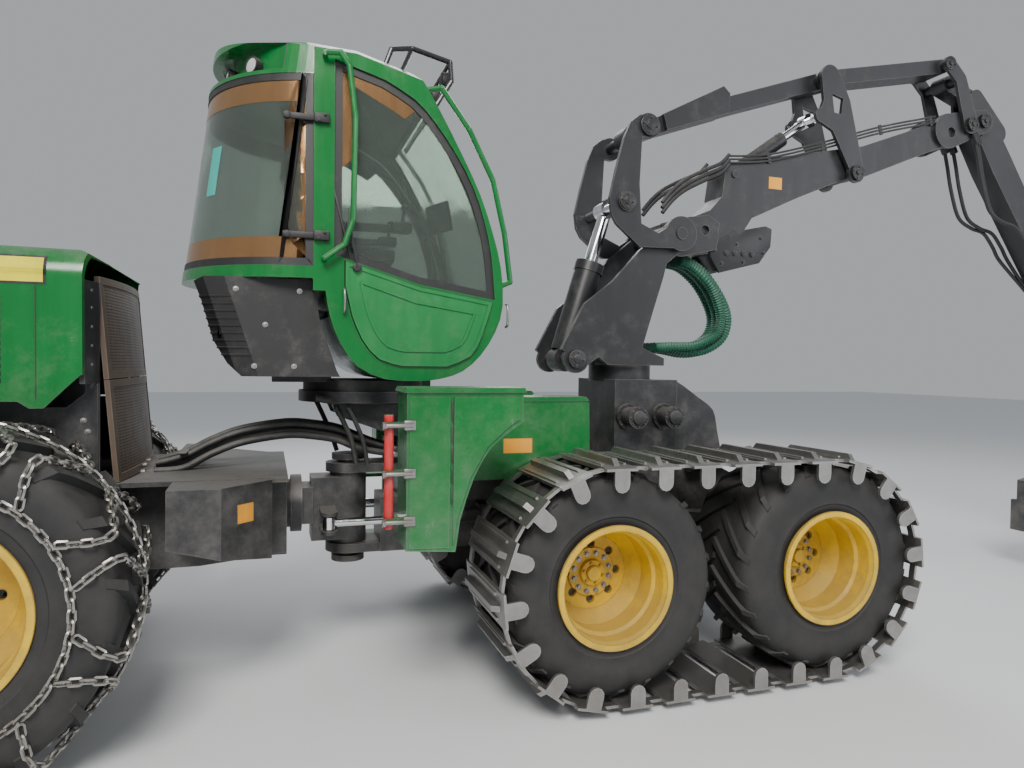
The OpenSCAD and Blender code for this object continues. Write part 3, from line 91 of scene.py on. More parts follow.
def minus(tree, a, b, clamp=False):
    return mathNode(tree, "SUBTRACT", a, b, clamp)


def times(tree, a, b, clamp=False):
    return mathNode(tree, "MULTIPLY", a, b, clamp)


def noiseNode(tree, vector, scale, detail, rough):
    item = tree.nodes.new("ShaderNodeTexNoise")
    setInputs(item, {"Scale": scale, "Detail": detail, "Roughness": rough})
    tree.links.new(vector, item.inputs["Vector"])
    return item.outputs["Fac"]


def rampNode(tree, value, low, high, toLow=0.0, toHigh=1.0, kind="SMOOTHSTEP"):
    item = tree.nodes.new("ShaderNodeMapRange")
    item.interpolation_type = kind
    setInputs(item, {"From Min": low, "From Max": high, "To Min": toLow, "To Max": toHigh})
    tree.links.new(value, item.inputs["Value"])
    return item.outputs["Result"]


def mixColor(tree, factor, a, b):
    item = tree.nodes.new("ShaderNodeMix")
    item.data_type = "RGBA"
    for socket, value in ((item.inputs["Factor"], factor), (item.inputs["A"], a), (item.inputs["B"], b)):
        if isinstance(value, (int, float, tuple)):
            socket.default_value = value
        else:
            tree.links.new(value, socket)
    return item.outputs["Result"]


def objectCoords(tree):
    return tree.nodes.new("ShaderNodeTexCoord").outputs["Object"]


def axesOf(tree, vector):
    item = tree.nodes.new("ShaderNodeSeparateXYZ")
    tree.links.new(vector, item.inputs[0])
    return item.outputs


def makeWearGroup():
    # Colour, roughness and metal of a coated surface: edges worn bare, streaks, dust that settles
    group, inside, outside = newGroup("wornCoat", [
        ("Coat", "Color", (0.1, 0.1, 0.1, 1)), ("Bare", "Color", (0.3, 0.28, 0.26, 1)),
        ("Dust", "Color", (0.3, 0.26, 0.2, 1)), ("Wear", "Float", 0.5), ("Dirt", "Float", 0.5),
        ("Gloss", "Float", 0.4)],
        [("Color", "Color"), ("Roughness", "Float"), ("Metallic", "Float"), ("Height", "Float")])
    coords = objectCoords(group)
    geometry = group.nodes.new("ShaderNodeNewGeometry")
    bevel = group.nodes.new("ShaderNodeBevel")
    bevel.samples = 4
    bevel.inputs["Radius"].default_value = 0.012
    dot = group.nodes.new("ShaderNodeVectorMath")
    dot.operation = "DOT_PRODUCT"
    group.links.new(bevel.outputs["Normal"], dot.inputs[0])
    group.links.new(geometry.outputs["Normal"], dot.inputs[1])
    edge = minus(group, 1.0, dot.outputs["Value"], True)
    chips = noiseNode(group, coords, 22.0, 6.0, 0.7)
    chipped = times(group, times(group, edge, 5.0), chips)
    wearLine = times(group, chipped, inside.outputs["Wear"])
    wornEdge = rampNode(group, wearLine, 0.22, 0.42)
    spots = rampNode(group, noiseNode(group, coords, 9.0, 8.0, 0.75), 0.69, 0.73)
    wornSpot = times(group, spots, inside.outputs["Wear"])
    worn = mathNode(group, "MAXIMUM", wornEdge, wornSpot, True)
    # Thin streaks and broad clouds break up the coat
    stretch = group.nodes.new("ShaderNodeMapping")
    stretch.inputs["Scale"].default_value = (14.0, 14.0, 1.6)
    group.links.new(coords, stretch.inputs["Vector"])
    streaks = noiseNode(group, stretch.outputs["Vector"], 1.0, 5.0, 0.65)
    clouds = noiseNode(group, coords, 1.7, 5.0, 0.6)
    tone = plus(group, times(group, clouds, 0.7), times(group, streaks, 0.5))
    shade = rampNode(group, tone, 0.3, 0.9, 0.72, 1.18, "LINEAR")
    tint = group.nodes.new("ShaderNodeVectorMath")
    tint.operation = "SCALE"
    group.links.new(inside.outputs["Coat"], tint.inputs[0])
    group.links.new(shade, tint.inputs["Scale"])
    # Dust lies on what faces up and on what is near the ground
    up = times(group, axesOf(group, geometry.outputs["Normal"])["Z"], 0.34)
    height = rampNode(group, axesOf(group, coords)["Z"], 0.2, 2.4, 0.34, 0.0, "LINEAR")
    splash = noiseNode(group, coords, 6.0, 9.0, 0.72)
    level = plus(group, plus(group, up, height), splash)
    dusty = rampNode(group, level, 0.5, 1.05)
    dust = times(group, dusty, inside.outputs["Dirt"], True)
    coated = mixColor(group, worn, tint.outputs["Vector"], inside.outputs["Bare"])
    final = mixColor(group, dust, coated, inside.outputs["Dust"])
    grain = noiseNode(group, coords, 220.0, 3.0, 0.7)
    rough = plus(group, inside.outputs["Gloss"], times(group, dust, 0.45))
    rough = plus(group, rough, times(group, minus(group, streaks, 0.5), 0.3), True)
    metal = times(group, worn, minus(group, 1.0, dust), True)
    bump = plus(group, times(group, grain, 0.3), times(group, clouds, 0.5))
    bump = minus(group, bump, times(group, worn, 0.5))
    bump = plus(group, bump, times(group, dust, 0.6))
    for label, value in (("Color", final), ("Roughness", rough), ("Metallic", metal), ("Height", bump)):
        group.links.new(value, outside.inputs[label])
    return group


wearGroup = makeWearGroup()


def newMaterial(name):
    material = bpy.data.materials.new(name)
    material.use_nodes = True
    tree = material.node_tree
    return material, tree, tree.nodes["Principled BSDF"]


def coatMaterial(name, coat, bare, dust, wear, dirt, gloss, bump=0.25, metallic=None):
    material, tree, shader = newMaterial(name)
    worn = tree.nodes.new("ShaderNodeGroup")
    worn.node_tree = wearGroup
    setInputs(worn, {"Coat": coat + (1,), "Bare": bare + (1,), "Dust": dust + (1,),
                     "Wear": wear, "Dirt": dirt, "Gloss": gloss})
    relief = tree.nodes.new("ShaderNodeBump")
    setInputs(relief, {"Strength": bump, "Distance": 0.004})
    tree.links.new(worn.outputs["Color"], shader.inputs["Base Color"])
    tree.links.new(worn.outputs["Roughness"], shader.inputs["Roughness"])
    if metallic is None:
        tree.links.new(worn.outputs["Metallic"], shader.inputs["Metallic"])
    else:
        shader.inputs["Metallic"].default_value = metallic
    tree.links.new(worn.outputs["Height"], relief.inputs["Height"])
    tree.links.new(relief.outputs["Normal"], shader.inputs["Normal"])
    return material


mud = (0.16, 0.12, 0.08)
dustGrey = (0.33, 0.31, 0.28)
rust = (0.16, 0.075, 0.035)
# Each coat: its colour, the bare colour under it, its dust, then wear, dirt, roughness, relief and metal
coats = {
    "paint_green": ((0.005, 0.15, 0.03), (0.25, 0.25, 0.24), dustGrey, 0.5, 0.25, 0.19),
    "bin_green": ((0.012, 0.2, 0.05), (0.05, 0.2, 0.08), dustGrey, 0.2, 0.3, 0.34),
    "paint_yellow": ((0.78, 0.5, 0.015), rust, mud, 0.9, 0.55, 0.4),
    "paint_black": ((0.022, 0.023, 0.026), (0.2, 0.18, 0.16), dustGrey, 0.7, 0.34, 0.38),
    "moulded_black": ((0.018, 0.018, 0.019), (0.06, 0.06, 0.06), dustGrey, 0.3, 0.4, 0.55, 0.4),
    "tyre_rubber": ((0.016, 0.016, 0.017), (0.05, 0.05, 0.05), (0.075, 0.07, 0.063), 0.3, 0.4, 0.6, 0.6),
    "hose_rubber": ((0.02, 0.02, 0.021), (0.05, 0.05, 0.05), dustGrey, 0.3, 0.3, 0.5, 0.3),
    "track_steel": ((0.42, 0.41, 0.4), (0.6, 0.59, 0.57), (0.13, 0.11, 0.09), 0.9, 0.42, 0.3, 0.5, 0.9),
    "bare_steel": ((0.34, 0.33, 0.32), (0.5, 0.49, 0.48), mud, 0.9, 0.4, 0.34, 0.4, 0.9),
    "engine_iron": ((0.08, 0.08, 0.085), (0.2, 0.2, 0.2), mud, 0.5, 0.6, 0.6, 0.5),
    "screen_mesh": ((0.09, 0.06, 0.04), (0.3, 0.27, 0.24), mud, 0.5, 0.5, 0.5, 0.3),
    "rod_chrome": ((0.78, 0.78, 0.79), (0.8, 0.8, 0.8), dustGrey, 0.0, 0.12, 0.1, 0.05, 1.0),
    "seat_cloth": ((0.03, 0.03, 0.034), (0.06, 0.06, 0.06), dustGrey, 0.2, 0.2, 0.85, 0.8),
    "chain_steel": ((0.36, 0.35, 0.33), (0.55, 0.54, 0.52), mud, 0.9, 0.35, 0.3, 0.4, 0.95),
    "window_film": ((0.36, 0.2, 0.09), (0.5, 0.36, 0.2), dustGrey, 0.0, 0.2, 0.16, 0.35, 0.75),
    "teal_plate": ((0.05, 0.42, 0.36), (0.1, 0.4, 0.36), dustGrey, 0.1, 0.25, 0.5),
    "stripe_yellow": ((0.8, 0.7, 0.02), (0.6, 0.55, 0.1), dustGrey, 0.1, 0.25, 0.4),
    "plate_orange": ((0.9, 0.38, 0.02), (0.5, 0.3, 0.1), dustGrey, 0.3, 0.25, 0.4),
    "bar_red": ((0.55, 0.02, 0.02), (0.3, 0.27, 0.25), dustGrey, 0.7, 0.4, 0.35),
    "sleeve_green": ((0.006, 0.1, 0.055), (0.03, 0.14, 0.09), dustGrey, 0.3, 0.3, 0.45, 0.4),
    "rail_green": ((0.005, 0.15, 0.03), (0.25, 0.25, 0.24), dustGrey, 0.5, 0.25, 0.24),
}
materials = {name: coatMaterial(name, *values) for name, values in coats.items()}


def glassMaterial(name, color, rough, transmission):
    material, tree, shader = newMaterial(name)
    setInputs(shader, {"Base Color": color + (1,), "Transmission Weight": transmission, "IOR": 1.45})
    smears = rampNode(tree, noiseNode(tree, objectCoords(tree), 5.0, 8.0, 0.7), 0.45, 0.8)
    smears = plus(tree, times(tree, smears, 0.22), rough, True)
    tree.links.new(smears, shader.inputs["Roughness"])
    return material


materials["window_glass"] = glassMaterial("window_glass", (0.42, 0.5, 0.44), 0.02, 0.92)
materials["lamp_glass"] = glassMaterial("lamp_glass", (0.9, 0.9, 0.88), 0.06, 0.5)


def paintOver(tree, factor, color):
    # Lays a colour over the base colour by a factor
    socket = tree.nodes["Principled BSDF"].inputs["Base Color"]
    tree.links.new(mixColor(tree, factor, socket.links[0].from_socket, color), socket)


def addRibs(material, pitch, dark):
    # Fine level ribs of a woven screen between its borders, on colour and relief; the gaps between the ribs get a
    # near-black colour as painted shade
    tree = material.node_tree
    axes = axesOf(tree, objectCoords(tree))
    wave = mathNode(tree, "SINE", times(tree, axes["Z"], 2 * pi / pitch))
    cross = mathNode(tree, "SINE", times(tree, axes["Y"], 2 * pi / (pitch * 3.0)))
    inside = mathNode(tree, "LESS_THAN", mathNode(tree, "ABSOLUTE", axes["Y"]), 0.598)
    bands = []
    for middle, half in ((1.6, 0.24), (2.165, 0.23)):
        away = mathNode(tree, "ABSOLUTE", minus(tree, axes["Z"], middle))
        bands.append(mathNode(tree, "LESS_THAN", away, half))
    mask = times(tree, inside, plus(tree, bands[0], bands[1], True))
    woven = plus(tree, 0.75, times(tree, cross, 0.25))
    gap = times(tree, rampNode(tree, wave, -0.1, 0.5), woven)
    gap = times(tree, gap, mask, True)
    # The gaps are painted near black: painted shade seen through the screen's openings
    paintOver(tree, gap, dark)
    relief = tree.nodes["Principled BSDF"].inputs["Normal"].links[0].from_node
    height = relief.inputs["Height"]
    sunk = minus(tree, height.links[0].from_socket, times(tree, gap, 1.4))
    tree.links.new(sunk, height)


# The dark colour is painted shade for the gaps of the screen
addRibs(materials["screen_mesh"], 0.017, (0.012, 0.01, 0.008, 1))


def addBlackGuard(material, half, low, dark):
    # The lamp guard over the roof is black where the other rails are green
    tree = material.node_tree
    axes = axesOf(tree, objectCoords(tree))
    near = mathNode(tree, "LESS_THAN", mathNode(tree, "ABSOLUTE", axes["Y"]), half)
    paintOver(tree, times(tree, near, mathNode(tree, "GREATER_THAN", axes["Z"], low)), dark)


addBlackGuard(materials["rail_green"], 0.36, 3.3, (0.02, 0.021, 0.023, 1))
for name, part in nodes.items():
    part.data.materials.clear()
    part.data.materials.append(materials["rail_green" if name == "cab_rails" else slotOf[name]])
print("materials made")

# Floor, light and camera
bpy.ops.mesh.primitive_plane_add(size=90.0, location=(0, 0, 0))
floor = bpy.context.object
floor.name = "floor"
floorPaint, tree, shader = newMaterial("floor_paint")
setInputs(shader, {"Base Color": (0.72, 0.73, 0.74, 1), "Roughness": 0.7})
floor.data.materials.append(floorPaint)
world = bpy.data.worlds.new("studio")
bpy.context.scene.world = world
world.use_nodes = True
setInputs(world.node_tree.nodes["Background"], {"Color": (0.82, 0.86, 0.9, 1), "Strength": 0.5})
for name, place, size, power, color in (
        ("key", (-5.0, -10.0, 10.5), 5.0, 2100.0, (1.0, 0.97, 0.93)),
        ("fill", (9.0, -9.0, 5.0), 7.0, 350.0, (0.93, 0.96, 1.0)),
        ("back", (2.0, 10.0, 9.0), 8.0, 700.0, (1.0, 1.0, 1.0))):
    bpy.ops.object.light_add(type="AREA", location=place)
    light = bpy.context.object
    light.name = name
    light.data.size = size
    light.data.energy = power
    light.data.color = color
    light.rotation_euler = (Vector((0, 0, 1.6)) - Vector(place)).to_track_quat("-Z", "Y").to_euler()

yaw, pitch, roll = radians(18.375), radians(-1.54), radians(0.675)
ahead = Vector((sin(yaw) * cos(pitch), cos(yaw) * cos(pitch), sin(pitch)))
right = Vector((cos(yaw), -sin(yaw), 0))
up = right.cross(ahead)
tiltedRight = right * cos(roll) + up * sin(roll)
tiltedUp = up * cos(roll) - right * sin(roll)
bpy.ops.object.camera_add()
camera = bpy.context.object
camera.name = "camera"
camera.data.lens = 25.87
camera.data.sensor_width = 36
camera.data.sensor_fit = "HORIZONTAL"
pose = Matrix((tiltedRight, tiltedUp, -ahead)).transposed().to_4x4()
pose.translation = Vector((-2.626 - midX, -5.137, 1.988))
camera.matrix_world = pose
bpy.context.scene.camera = camera
print("stage set")

# Shared steps for the pieces below


def at(x, z, y=0.0):
    # A point of the side drawing, in millimetres, as a place in the row frame
    return Vector((x / 1000 - midX, y / 1000, z / 1000))


def drawn(points, y):
    # Points of the side drawing, all at one place across
    return [at(x, z, y) for x, z in points]


def across(y):
    return Vector((0, y, 0))


def take(piece):
    if bpy.context.mode != "OBJECT":
        leave()
    bpy.ops.object.select_all(action="DESELECT")
    piece.select_set(True)
    bpy.context.view_layer.objects.active = piece
    return piece


def selectAll(action="SELECT"):
    bpy.ops.mesh.select_all(action=action)


def enter():
    bpy.ops.object.mode_set(mode="EDIT")


def leave():
    bpy.ops.object.mode_set(mode="OBJECT")


def edit(piece, action="SELECT"):
    # Into edit mode on one piece, with all or nothing selected
    take(piece)
    enter()
    selectAll(action)


def applyPlace(piece):
    take(piece)
    bpy.ops.object.transform_apply(location=True, rotation=True, scale=True)


def selectFaces(piece, test):
    # Into edit mode with the faces selected that pass the test
    edit(piece, "DESELECT")
    leave()
    for face in piece.data.polygons:
        face.select = test(face)
    enter()
    bpy.ops.mesh.select_mode(type="FACE")


def facesOutward():
    selectAll()
    bpy.ops.mesh.normals_make_consistent(inside=False)


def settle(piece, name, finish, body=None, angle=30):
    # Finishes one piece, or a list of parts joined into one
    if isinstance(piece, list):
        piece = joined(piece)
    piece.name = name
    piece.data.name = name
    applyPlace(piece)
    bpy.ops.object.shade_smooth_by_angle(angle=radians(angle))
    piece.data.materials.clear()
    piece.data.materials.append(materials[finish])
    if body:
        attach(piece, body)
    bpy.ops.object.select_all(action="DESELECT")
    return piece


def joined(parts):
    take(parts[0])
    for part in parts:
        part.select_set(True)
    if len(parts) > 1:
        bpy.ops.object.join()
    return bpy.context.object


def modify(piece, kind, **values):
    take(piece)
    step = piece.modifiers.new(kind.lower(), kind)
    for key, value in values.items():
        setattr(step, key, value)
    bpy.ops.object.modifier_apply(modifier=step.name)
    return piece


def copyTo(piece, matrix):
    twin = piece.copy()
    twin.data = piece.data.copy()
    bpy.context.scene.collection.objects.link(twin)
    twin.matrix_world = matrix
    return twin


def block(size, place, bevel=0.004, turn=(0, 0, 0), segments=2):
    # A box with softened edges, in metres
    bpy.ops.mesh.primitive_cube_add(size=1.0, location=place, rotation=turn)
    piece = bpy.context.object
    piece.scale = size
    bpy.ops.object.transform_apply(location=False, rotation=False, scale=True)
    if bevel:
        edit(piece)
        bpy.ops.mesh.bevel(offset=bevel, segments=segments, affect="EDGES")
        leave()
    return piece


def disc(radius, depth, place, toward, sides=32, bevel=0.003):
    # A round plate whose axis points along the given direction, with its rim softened
    bpy.ops.mesh.primitive_cylinder_add(vertices=sides, radius=radius, depth=depth, location=place)
    piece = bpy.context.object
    piece.rotation_euler = Vector(toward).to_track_quat("Z", "Y").to_euler()
    if bevel:
        edit(piece, "DESELECT")
        leave()
        for edge in piece.data.edges:
            a, b = (piece.data.vertices[i].co for i in edge.vertices)
            edge.select = abs(a.z - b.z) < 1e-6
        enter()
        bpy.ops.mesh.select_mode(type="EDGE")
        bpy.ops.mesh.bevel(offset=bevel, segments=2, affect="EDGES")
        leave()
    return piece


def smoothRoute(points, steps):
    # Even curve through the points
    route = []
    last = len(points) - 1
    for i in range(last):
        a, b, c, d = points[max(i - 1, 0)], points[i], points[i + 1], points[min(i + 2, last)]
        for k in range(steps):
            t = k / steps
            route.append(0.5 * ((2 * b) + (c - a) * t + (2 * a - 5 * b + 4 * c - d) * t * t
                                + (3 * b - a - 3 * c + d) * t * t * t))
    route.append(points[last])
    return route


def sweep(route, radius, sides=12, ridge=0.0):
    # A round hose along the route, its ends closed, with ridges if it is corrugated
    bpy.ops.mesh.primitive_circle_add(vertices=sides, radius=radius)
    piece = bpy.context.object
    rings = []
    angles = [2 * pi * k / sides for k in range(sides)]
    side = (route[1] - route[0]).normalized().orthogonal().normalized()
    for i, place in enumerate(route):
        nextWay = (route[min(i + 1, len(route) - 1)] - route[max(i - 1, 0)]).normalized()
        side = (side - nextWay * side.dot(nextWay)).normalized()
        up = nextWay.cross(side)
        grown = radius + (0.0 if i % 2 else ridge)
        rings.append([place + (side * cos(a) + up * sin(a)) * grown for a in angles])
    mesh = piece.data
    mesh.clear_geometry()
    faces = []
    for i in range(len(rings) - 1):
        for k in range(sides):
            faces.append((i * sides + k, i * sides + (k + 1) % sides,
                          (i + 1) * sides + (k + 1) % sides, (i + 1) * sides + k))
    faces.append(tuple(range(sides - 1, -1, -1)))
    faces.append(tuple((len(rings) - 1) * sides + k for k in range(sides)))
    mesh.from_pydata([point for ring in rings for point in ring], [], faces)
    mesh.update()
    piece.location = (0, 0, 0)
    return piece


def hose(points, steps, radius, sides, ridge=0.0):
    return sweep(smoothRoute(points, steps), radius, sides, ridge)


def nodeSkin(node, planes, keep):
    # A CAD node's own skin as an open sheet: the faces that keep(center, normal) takes,
    # cut by planes whose normals point outwards
    piece = nodes[node].copy()
    piece.data = nodes[node].data.copy()
    for key in list(piece.keys()):
        del piece[key]
    piece.parent = None
    bpy.context.scene.collection.objects.link(piece)
    edit(piece)
    bpy.ops.mesh.remove_doubles(threshold=0.00005)
    for point, normal in planes:
        selectAll()
        bpy.ops.mesh.bisect(plane_co=point, plane_no=normal, clear_outer=True)
    selectFaces(piece, lambda face: not keep(face.center, face.normal))
    bpy.ops.mesh.delete(type="FACE")
    selectAll()
    bpy.ops.mesh.dissolve_limited(angle_limit=radians(0.3))
    leave()
    return piece


def thicken(piece, thick, lift):
    # A sheet lifted off its seat and given a thickness outwards
    if lift:
        modify(piece, "DISPLACE", strength=lift, mid_level=0.0)
    modify(piece, "SOLIDIFY", thickness=thick, offset=1.0)
    return piece


def betweenPlanes(low, high):
    # Six cutting planes for the box from low to high
    return [(low, (-1, 0, 0)), (low, (0, -1, 0)), (low, (0, 0, -1)),
            (high, (1, 0, 0)), (high, (0, 1, 0)), (high, (0, 0, 1))]


def skinPatch(node, low, high, facing, thick):
    # A thin plate on a node's faces that look the given way, from low to high
    facing = Vector(facing).normalized()
    return thicken(nodeSkin(node, betweenPlanes(low, high), lambda c, n: n.dot(facing) >= 0.35), thick, 0.0)


def boltRing(center, ring, count, radius, height, toward, start=0.0):
    # Hexagon bolts with washers on a circle round the given axis
    axis = Vector(toward).normalized()
    side = axis.orthogonal().normalized()
    other = axis.cross(side)
    washer = disc(radius * 1.35, height * 0.3, (0, 0, 0), (0, 0, 1), 12, 0)
    head = disc(radius, height, (0, 0, height * 0.6), (0, 0, 1), 6, radius * 0.12)
    bolt = joined([washer, head])
    applyPlace(bolt)
    turn = axis.to_track_quat("Z", "Y").to_matrix().to_4x4()
    parts = []
    for i in range(count):
        a = start + 2 * pi * i / count
        place = Vector(center) + side * cos(a) * ring + other * sin(a) * ring
        parts.append(copyTo(bolt, Matrix.Translation(place) @ turn))
    bpy.data.objects.remove(bolt)
    return parts


def oneBolt(place, radius, height, toward):
    return boltRing(place, 0.0, 1, radius, height, toward)


def sideBolts(points, half):
    # Single bolts that face outwards, at points of the side drawing on both sides
    bolts = []
    for side in (-1, 1):
        for place in drawn(points, side * half):
            bolts += oneBolt(place, 0.012, 0.01, (0, side, 0))
    return bolts


# Tyres with lugs, and the snow chains on the rear pair
tyreSizes = {
    "rear": {"rim": 0.4325, "carcass": 0.788, "half": 0.355,
             "lugHeight": 0.038, "lugs": 16, "lugWidth": 0.07, "turn": 38},
    "bogie": {"rim": 0.3375, "carcass": 0.639, "half": 0.325,
              "lugHeight": 0.024, "lugs": 22, "lugWidth": 0.05, "turn": 42},
}


def makeCarcass(size):
    rim, top, w = size["rim"], size["carcass"], size["half"]
    h = top - rim
    # Sidewall heights as a share of the height between rim and tread, each with its inset
    wall = ((0.030, 0.0), (0.012, 0.13), (0.010, 0.2), (0.004, 0.22), (0.004, 0.25), (0.006, 0.27),
            (0.001, 0.42), (0.0, 0.55), (0.002, 0.68))
    shoulder = ((0.009, 0.06), (0.026, 0.026), (0.05, 0.008), (0.09, 0.001))
    outer = [(w - inset, rim + share * h) for inset, share in wall]
    outer += [(w - inset, top - below) for inset, below in shoulder] + [(w * 0.35, top)]
    inner = [(w - 0.075, rim), (w - 0.05, rim + 0.3 * h), (w - 0.05, rim + 0.7 * h), (w - 0.11, top - 0.045)]
    loop = outer + [(-y, r) for y, r in reversed(outer)] + [(-y, r) for y, r in inner] + list(reversed(inner))
    bpy.ops.mesh.primitive_circle_add(vertices=len(loop), radius=1.0)
    piece = bpy.context.object
    for vertex, (y, r) in zip(piece.data.vertices, loop):
        vertex.co = (0, y, r)
    edit(piece)
    bpy.ops.mesh.spin(steps=96, angle=2 * pi, center=(0, 0, 0), axis=(0, 1, 0))
    selectAll()
    bpy.ops.mesh.remove_doubles(threshold=0.0001)
    facesOutward()
    leave()
    return piece


def makeLug(size, side):
    # A bar across half the tread that folds down over the shoulder
    w, top = size["half"], size["carcass"]
    piece = block((size["lugWidth"], w * 1.12, 1.0), (0, 0, 0), 0)
    edit(piece)
    bpy.ops.mesh.subdivide(number_cuts=5)
    leave()
    turn = radians(size["turn"])
    for vertex in piece.data.vertices:
        x, y, z = vertex.co
        along = y + w * 0.5 + 0.005
        raised = max(0.0, z + 0.5)
        x *= 1.0 - 0.28 * raised
        y = along * cos(turn) * 1.19
        x -= (along - w * 0.5) * sin(turn)
        over = max(0.0, y - (w - 0.03))
        y = min(y, w - 0.03 + over * 0.3)
        floor = top - max(0.0, y - (w - 0.09)) ** 2 * 6.0 - over * 1.3
        r = floor - 0.015 + raised * (size["lugHeight"] + 0.015) * (1.0 if over < 0.01 else 0.8)
        if over > 0:
            y = min(y + raised * 0.01, w + 0.004)
        a = x / top
        vertex.co = (r * sin(a), side * y, r * cos(a))
    edit(piece)
    facesOutward()
    leave()
    return piece


def makeTyre(size):
    parts = [makeCarcass(size)]
    for side in (-1, 1):
        lug = makeLug(size, side)
        for i in range(size["lugs"]):
            a = (i + (0.5 if side > 0 else 0.0)) * 2 * pi / size["lugs"]
            parts.append(copyTo(lug, Matrix.Rotation(a, 4, "Y")))
        bpy.data.objects.remove(lug)
    return joined(parts)


chainValues = {"crossings": 18, "ring": 0.6, "over": 0.838, "edge": 0.366, "pitch": 0.049, "lean": 0.09,
               "wire": 0.0078, "round": 0.0168, "stretch": 0.014}


def makeLink():
    # One oval link of round wire
    bpy.ops.mesh.primitive_torus_add(major_segments=10, minor_segments=5,
                                     major_radius=chainValues["round"], minor_radius=chainValues["wire"])
    piece = bpy.context.object
    for vertex in piece.data.vertices:
        vertex.co.x += copysign(chainValues["stretch"], vertex.co.x)
    return piece


def layChain(link, route, center, pitch, firstTurn=0):
    # Links along a route round the wheel, each turned a quarter from the last
    lengths = [0.0]
    for a, b in zip(route, route[1:]):
        lengths.append(lengths[-1] + (b - a).length)
    count = max(1, round(lengths[-1] / pitch))
    parts = []
    spot = 0
    for i in range(count):
        s = (i + 0.5) * lengths[-1] / count
        while spot < len(route) - 2 and lengths[spot + 1] < s:
            spot += 1
        way = (route[spot + 1] - route[spot]).normalized()
        place = route[spot] + way * (s - lengths[spot])
        out = Vector((place.x, 0, place.z)).normalized()
        if abs(place.y) > 0.345:
            out = Vector((0, 1 if place.y > 0 else -1, 0))
        side = way.cross(out).normalized()
        out = side.cross(way)
        turn = radians(45 if (i + firstTurn) % 2 else -45)
        y = side * cos(turn) + out * sin(turn)
        z = way.cross(y)
        frameMatrix = Matrix((way, y, z)).transposed().to_4x4()
        frameMatrix.translation = center + place
        parts.append(copyTo(link, frameMatrix))
    return parts


def onTyre(a, y, r):
    return Vector((r * sin(a), y, r * cos(a)))


def makeChain(center):
    link = makeLink()
    parts = []
    v = chainValues
    for side in (-1, 1):
        route = [onTyre(2 * pi * k / 90, side * v["edge"], v["ring"]) for k in range(91)]
        parts += layChain(link, route, center, v["pitch"])
    for i in range(v["crossings"]):
        a = 2 * pi * i / v["crossings"]
        swing = (1 if i % 2 == 0 else -1) * v["lean"] / v["over"]
        for side in (-1, 1):
            # Each crossing's way from the ring to the middle: swing, place across, radius
            steps = ((0, v["edge"], v["ring"] + 0.02), (-0.6, v["edge"], 0.7),
                     (-0.95, v["edge"] - 0.004, 0.775), (-1, 0.338, 0.818), (-0.8, 0.3, v["over"]),
                     (0, 0.18, v["over"] + 0.002), (1, 0.012, v["over"] + 0.002))
            route = [onTyre(a + swing * share, side * y, r) for share, y, r in steps]
            parts += layChain(link, smoothRoute(route, 5), center, v["pitch"], i)
        # Short links along the middle tie the crossings together
        span = 2 * pi / v["crossings"] - 2 * swing
        route = [onTyre(a + swing + span * k / 8, 0.0, v["over"] + 0.001) for k in range(9)]
        parts += layChain(link, route, center, v["pitch"])
    bpy.data.objects.remove(link)
    return joined(parts)


# Middle and outer rim face of each wheel from the machine's middle, and hubs from the bogie's pivot
wheelMid, rimFace, hubSpots = 1.08, 1.064, (-0.75, 0.75)
for sideName, side in (("right", -1), ("left", 1)):
    center = pinAt["rear_wheel_%s_spin" % sideName].copy()
    center.y = side * wheelMid
    tyre = makeTyre(tyreSizes["rear"])
    tyre.matrix_world = Matrix.Translation(center) @ tyre.matrix_world
    settle(tyre, "rearTyre_" + sideName, "tyre_rubber", "rear_wheel_" + sideName)
    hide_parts("rear_tyre_" + sideName)
    chain = makeChain(center)
    settle(chain, "snowChain_" + sideName, "chain_steel", "rear_wheel_" + sideName, 60)
    wheels = []
    pivot = pinAt["bogie_%s_tilt" % sideName]
    for hub in hubSpots:
        tyre = makeTyre(tyreSizes["bogie"])
        spot = pivot + Vector((hub, 0, 0))
        spot.y = side * wheelMid
        tyre.matrix_world = Matrix.Translation(spot) @ Matrix.Rotation(hub, 4, "Y") @ tyre.matrix_world
        wheels.append(tyre)
    tyres = settle(wheels, "bogieTyres_" + sideName, "tyre_rubber", "bogie_" + sideName)
    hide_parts("bogie_tyres_" + sideName)
    # Wheel nuts and hub covers
    bogieHubs = [pivot + Vector((hub, 0, 0)) for hub in hubSpots]
    for kind, hubs, hubBody in (("rear", [center], "rear_wheel_" + sideName),
                                ("bogie", bogieHubs, "bogie_" + sideName)):
        nuts, covers = [], []
        for hub in hubs:
            face = Vector((hub.x, side * rimFace, hub.z))
            out = (0, side, 0)
            nuts += boltRing(face, 0.118, 12, 0.014, 0.018, out)
            covers.append(disc(0.078, 0.03, face + across(side * 0.014), out, 40, 0.008))
            covers.append(disc(0.045, 0.05, face + across(side * 0.03), out, 32, 0.008))
            covers += boltRing(face + across(side * 0.029), 0.062, 6, 0.007, 0.008, out)
        settle(nuts, kind + "WheelNuts_" + sideName, "bare_steel", hubBody)
        settle(covers, kind + "HubCovers_" + sideName, "paint_yellow", hubBody)
print("wheels made")

# Cab: seals and film round the panes, straps, wiper, lamps, seat and controls
cabValues = {"sealWidth": 0.042, "filmWidth": 0.085, "rearFilm": 0.12}


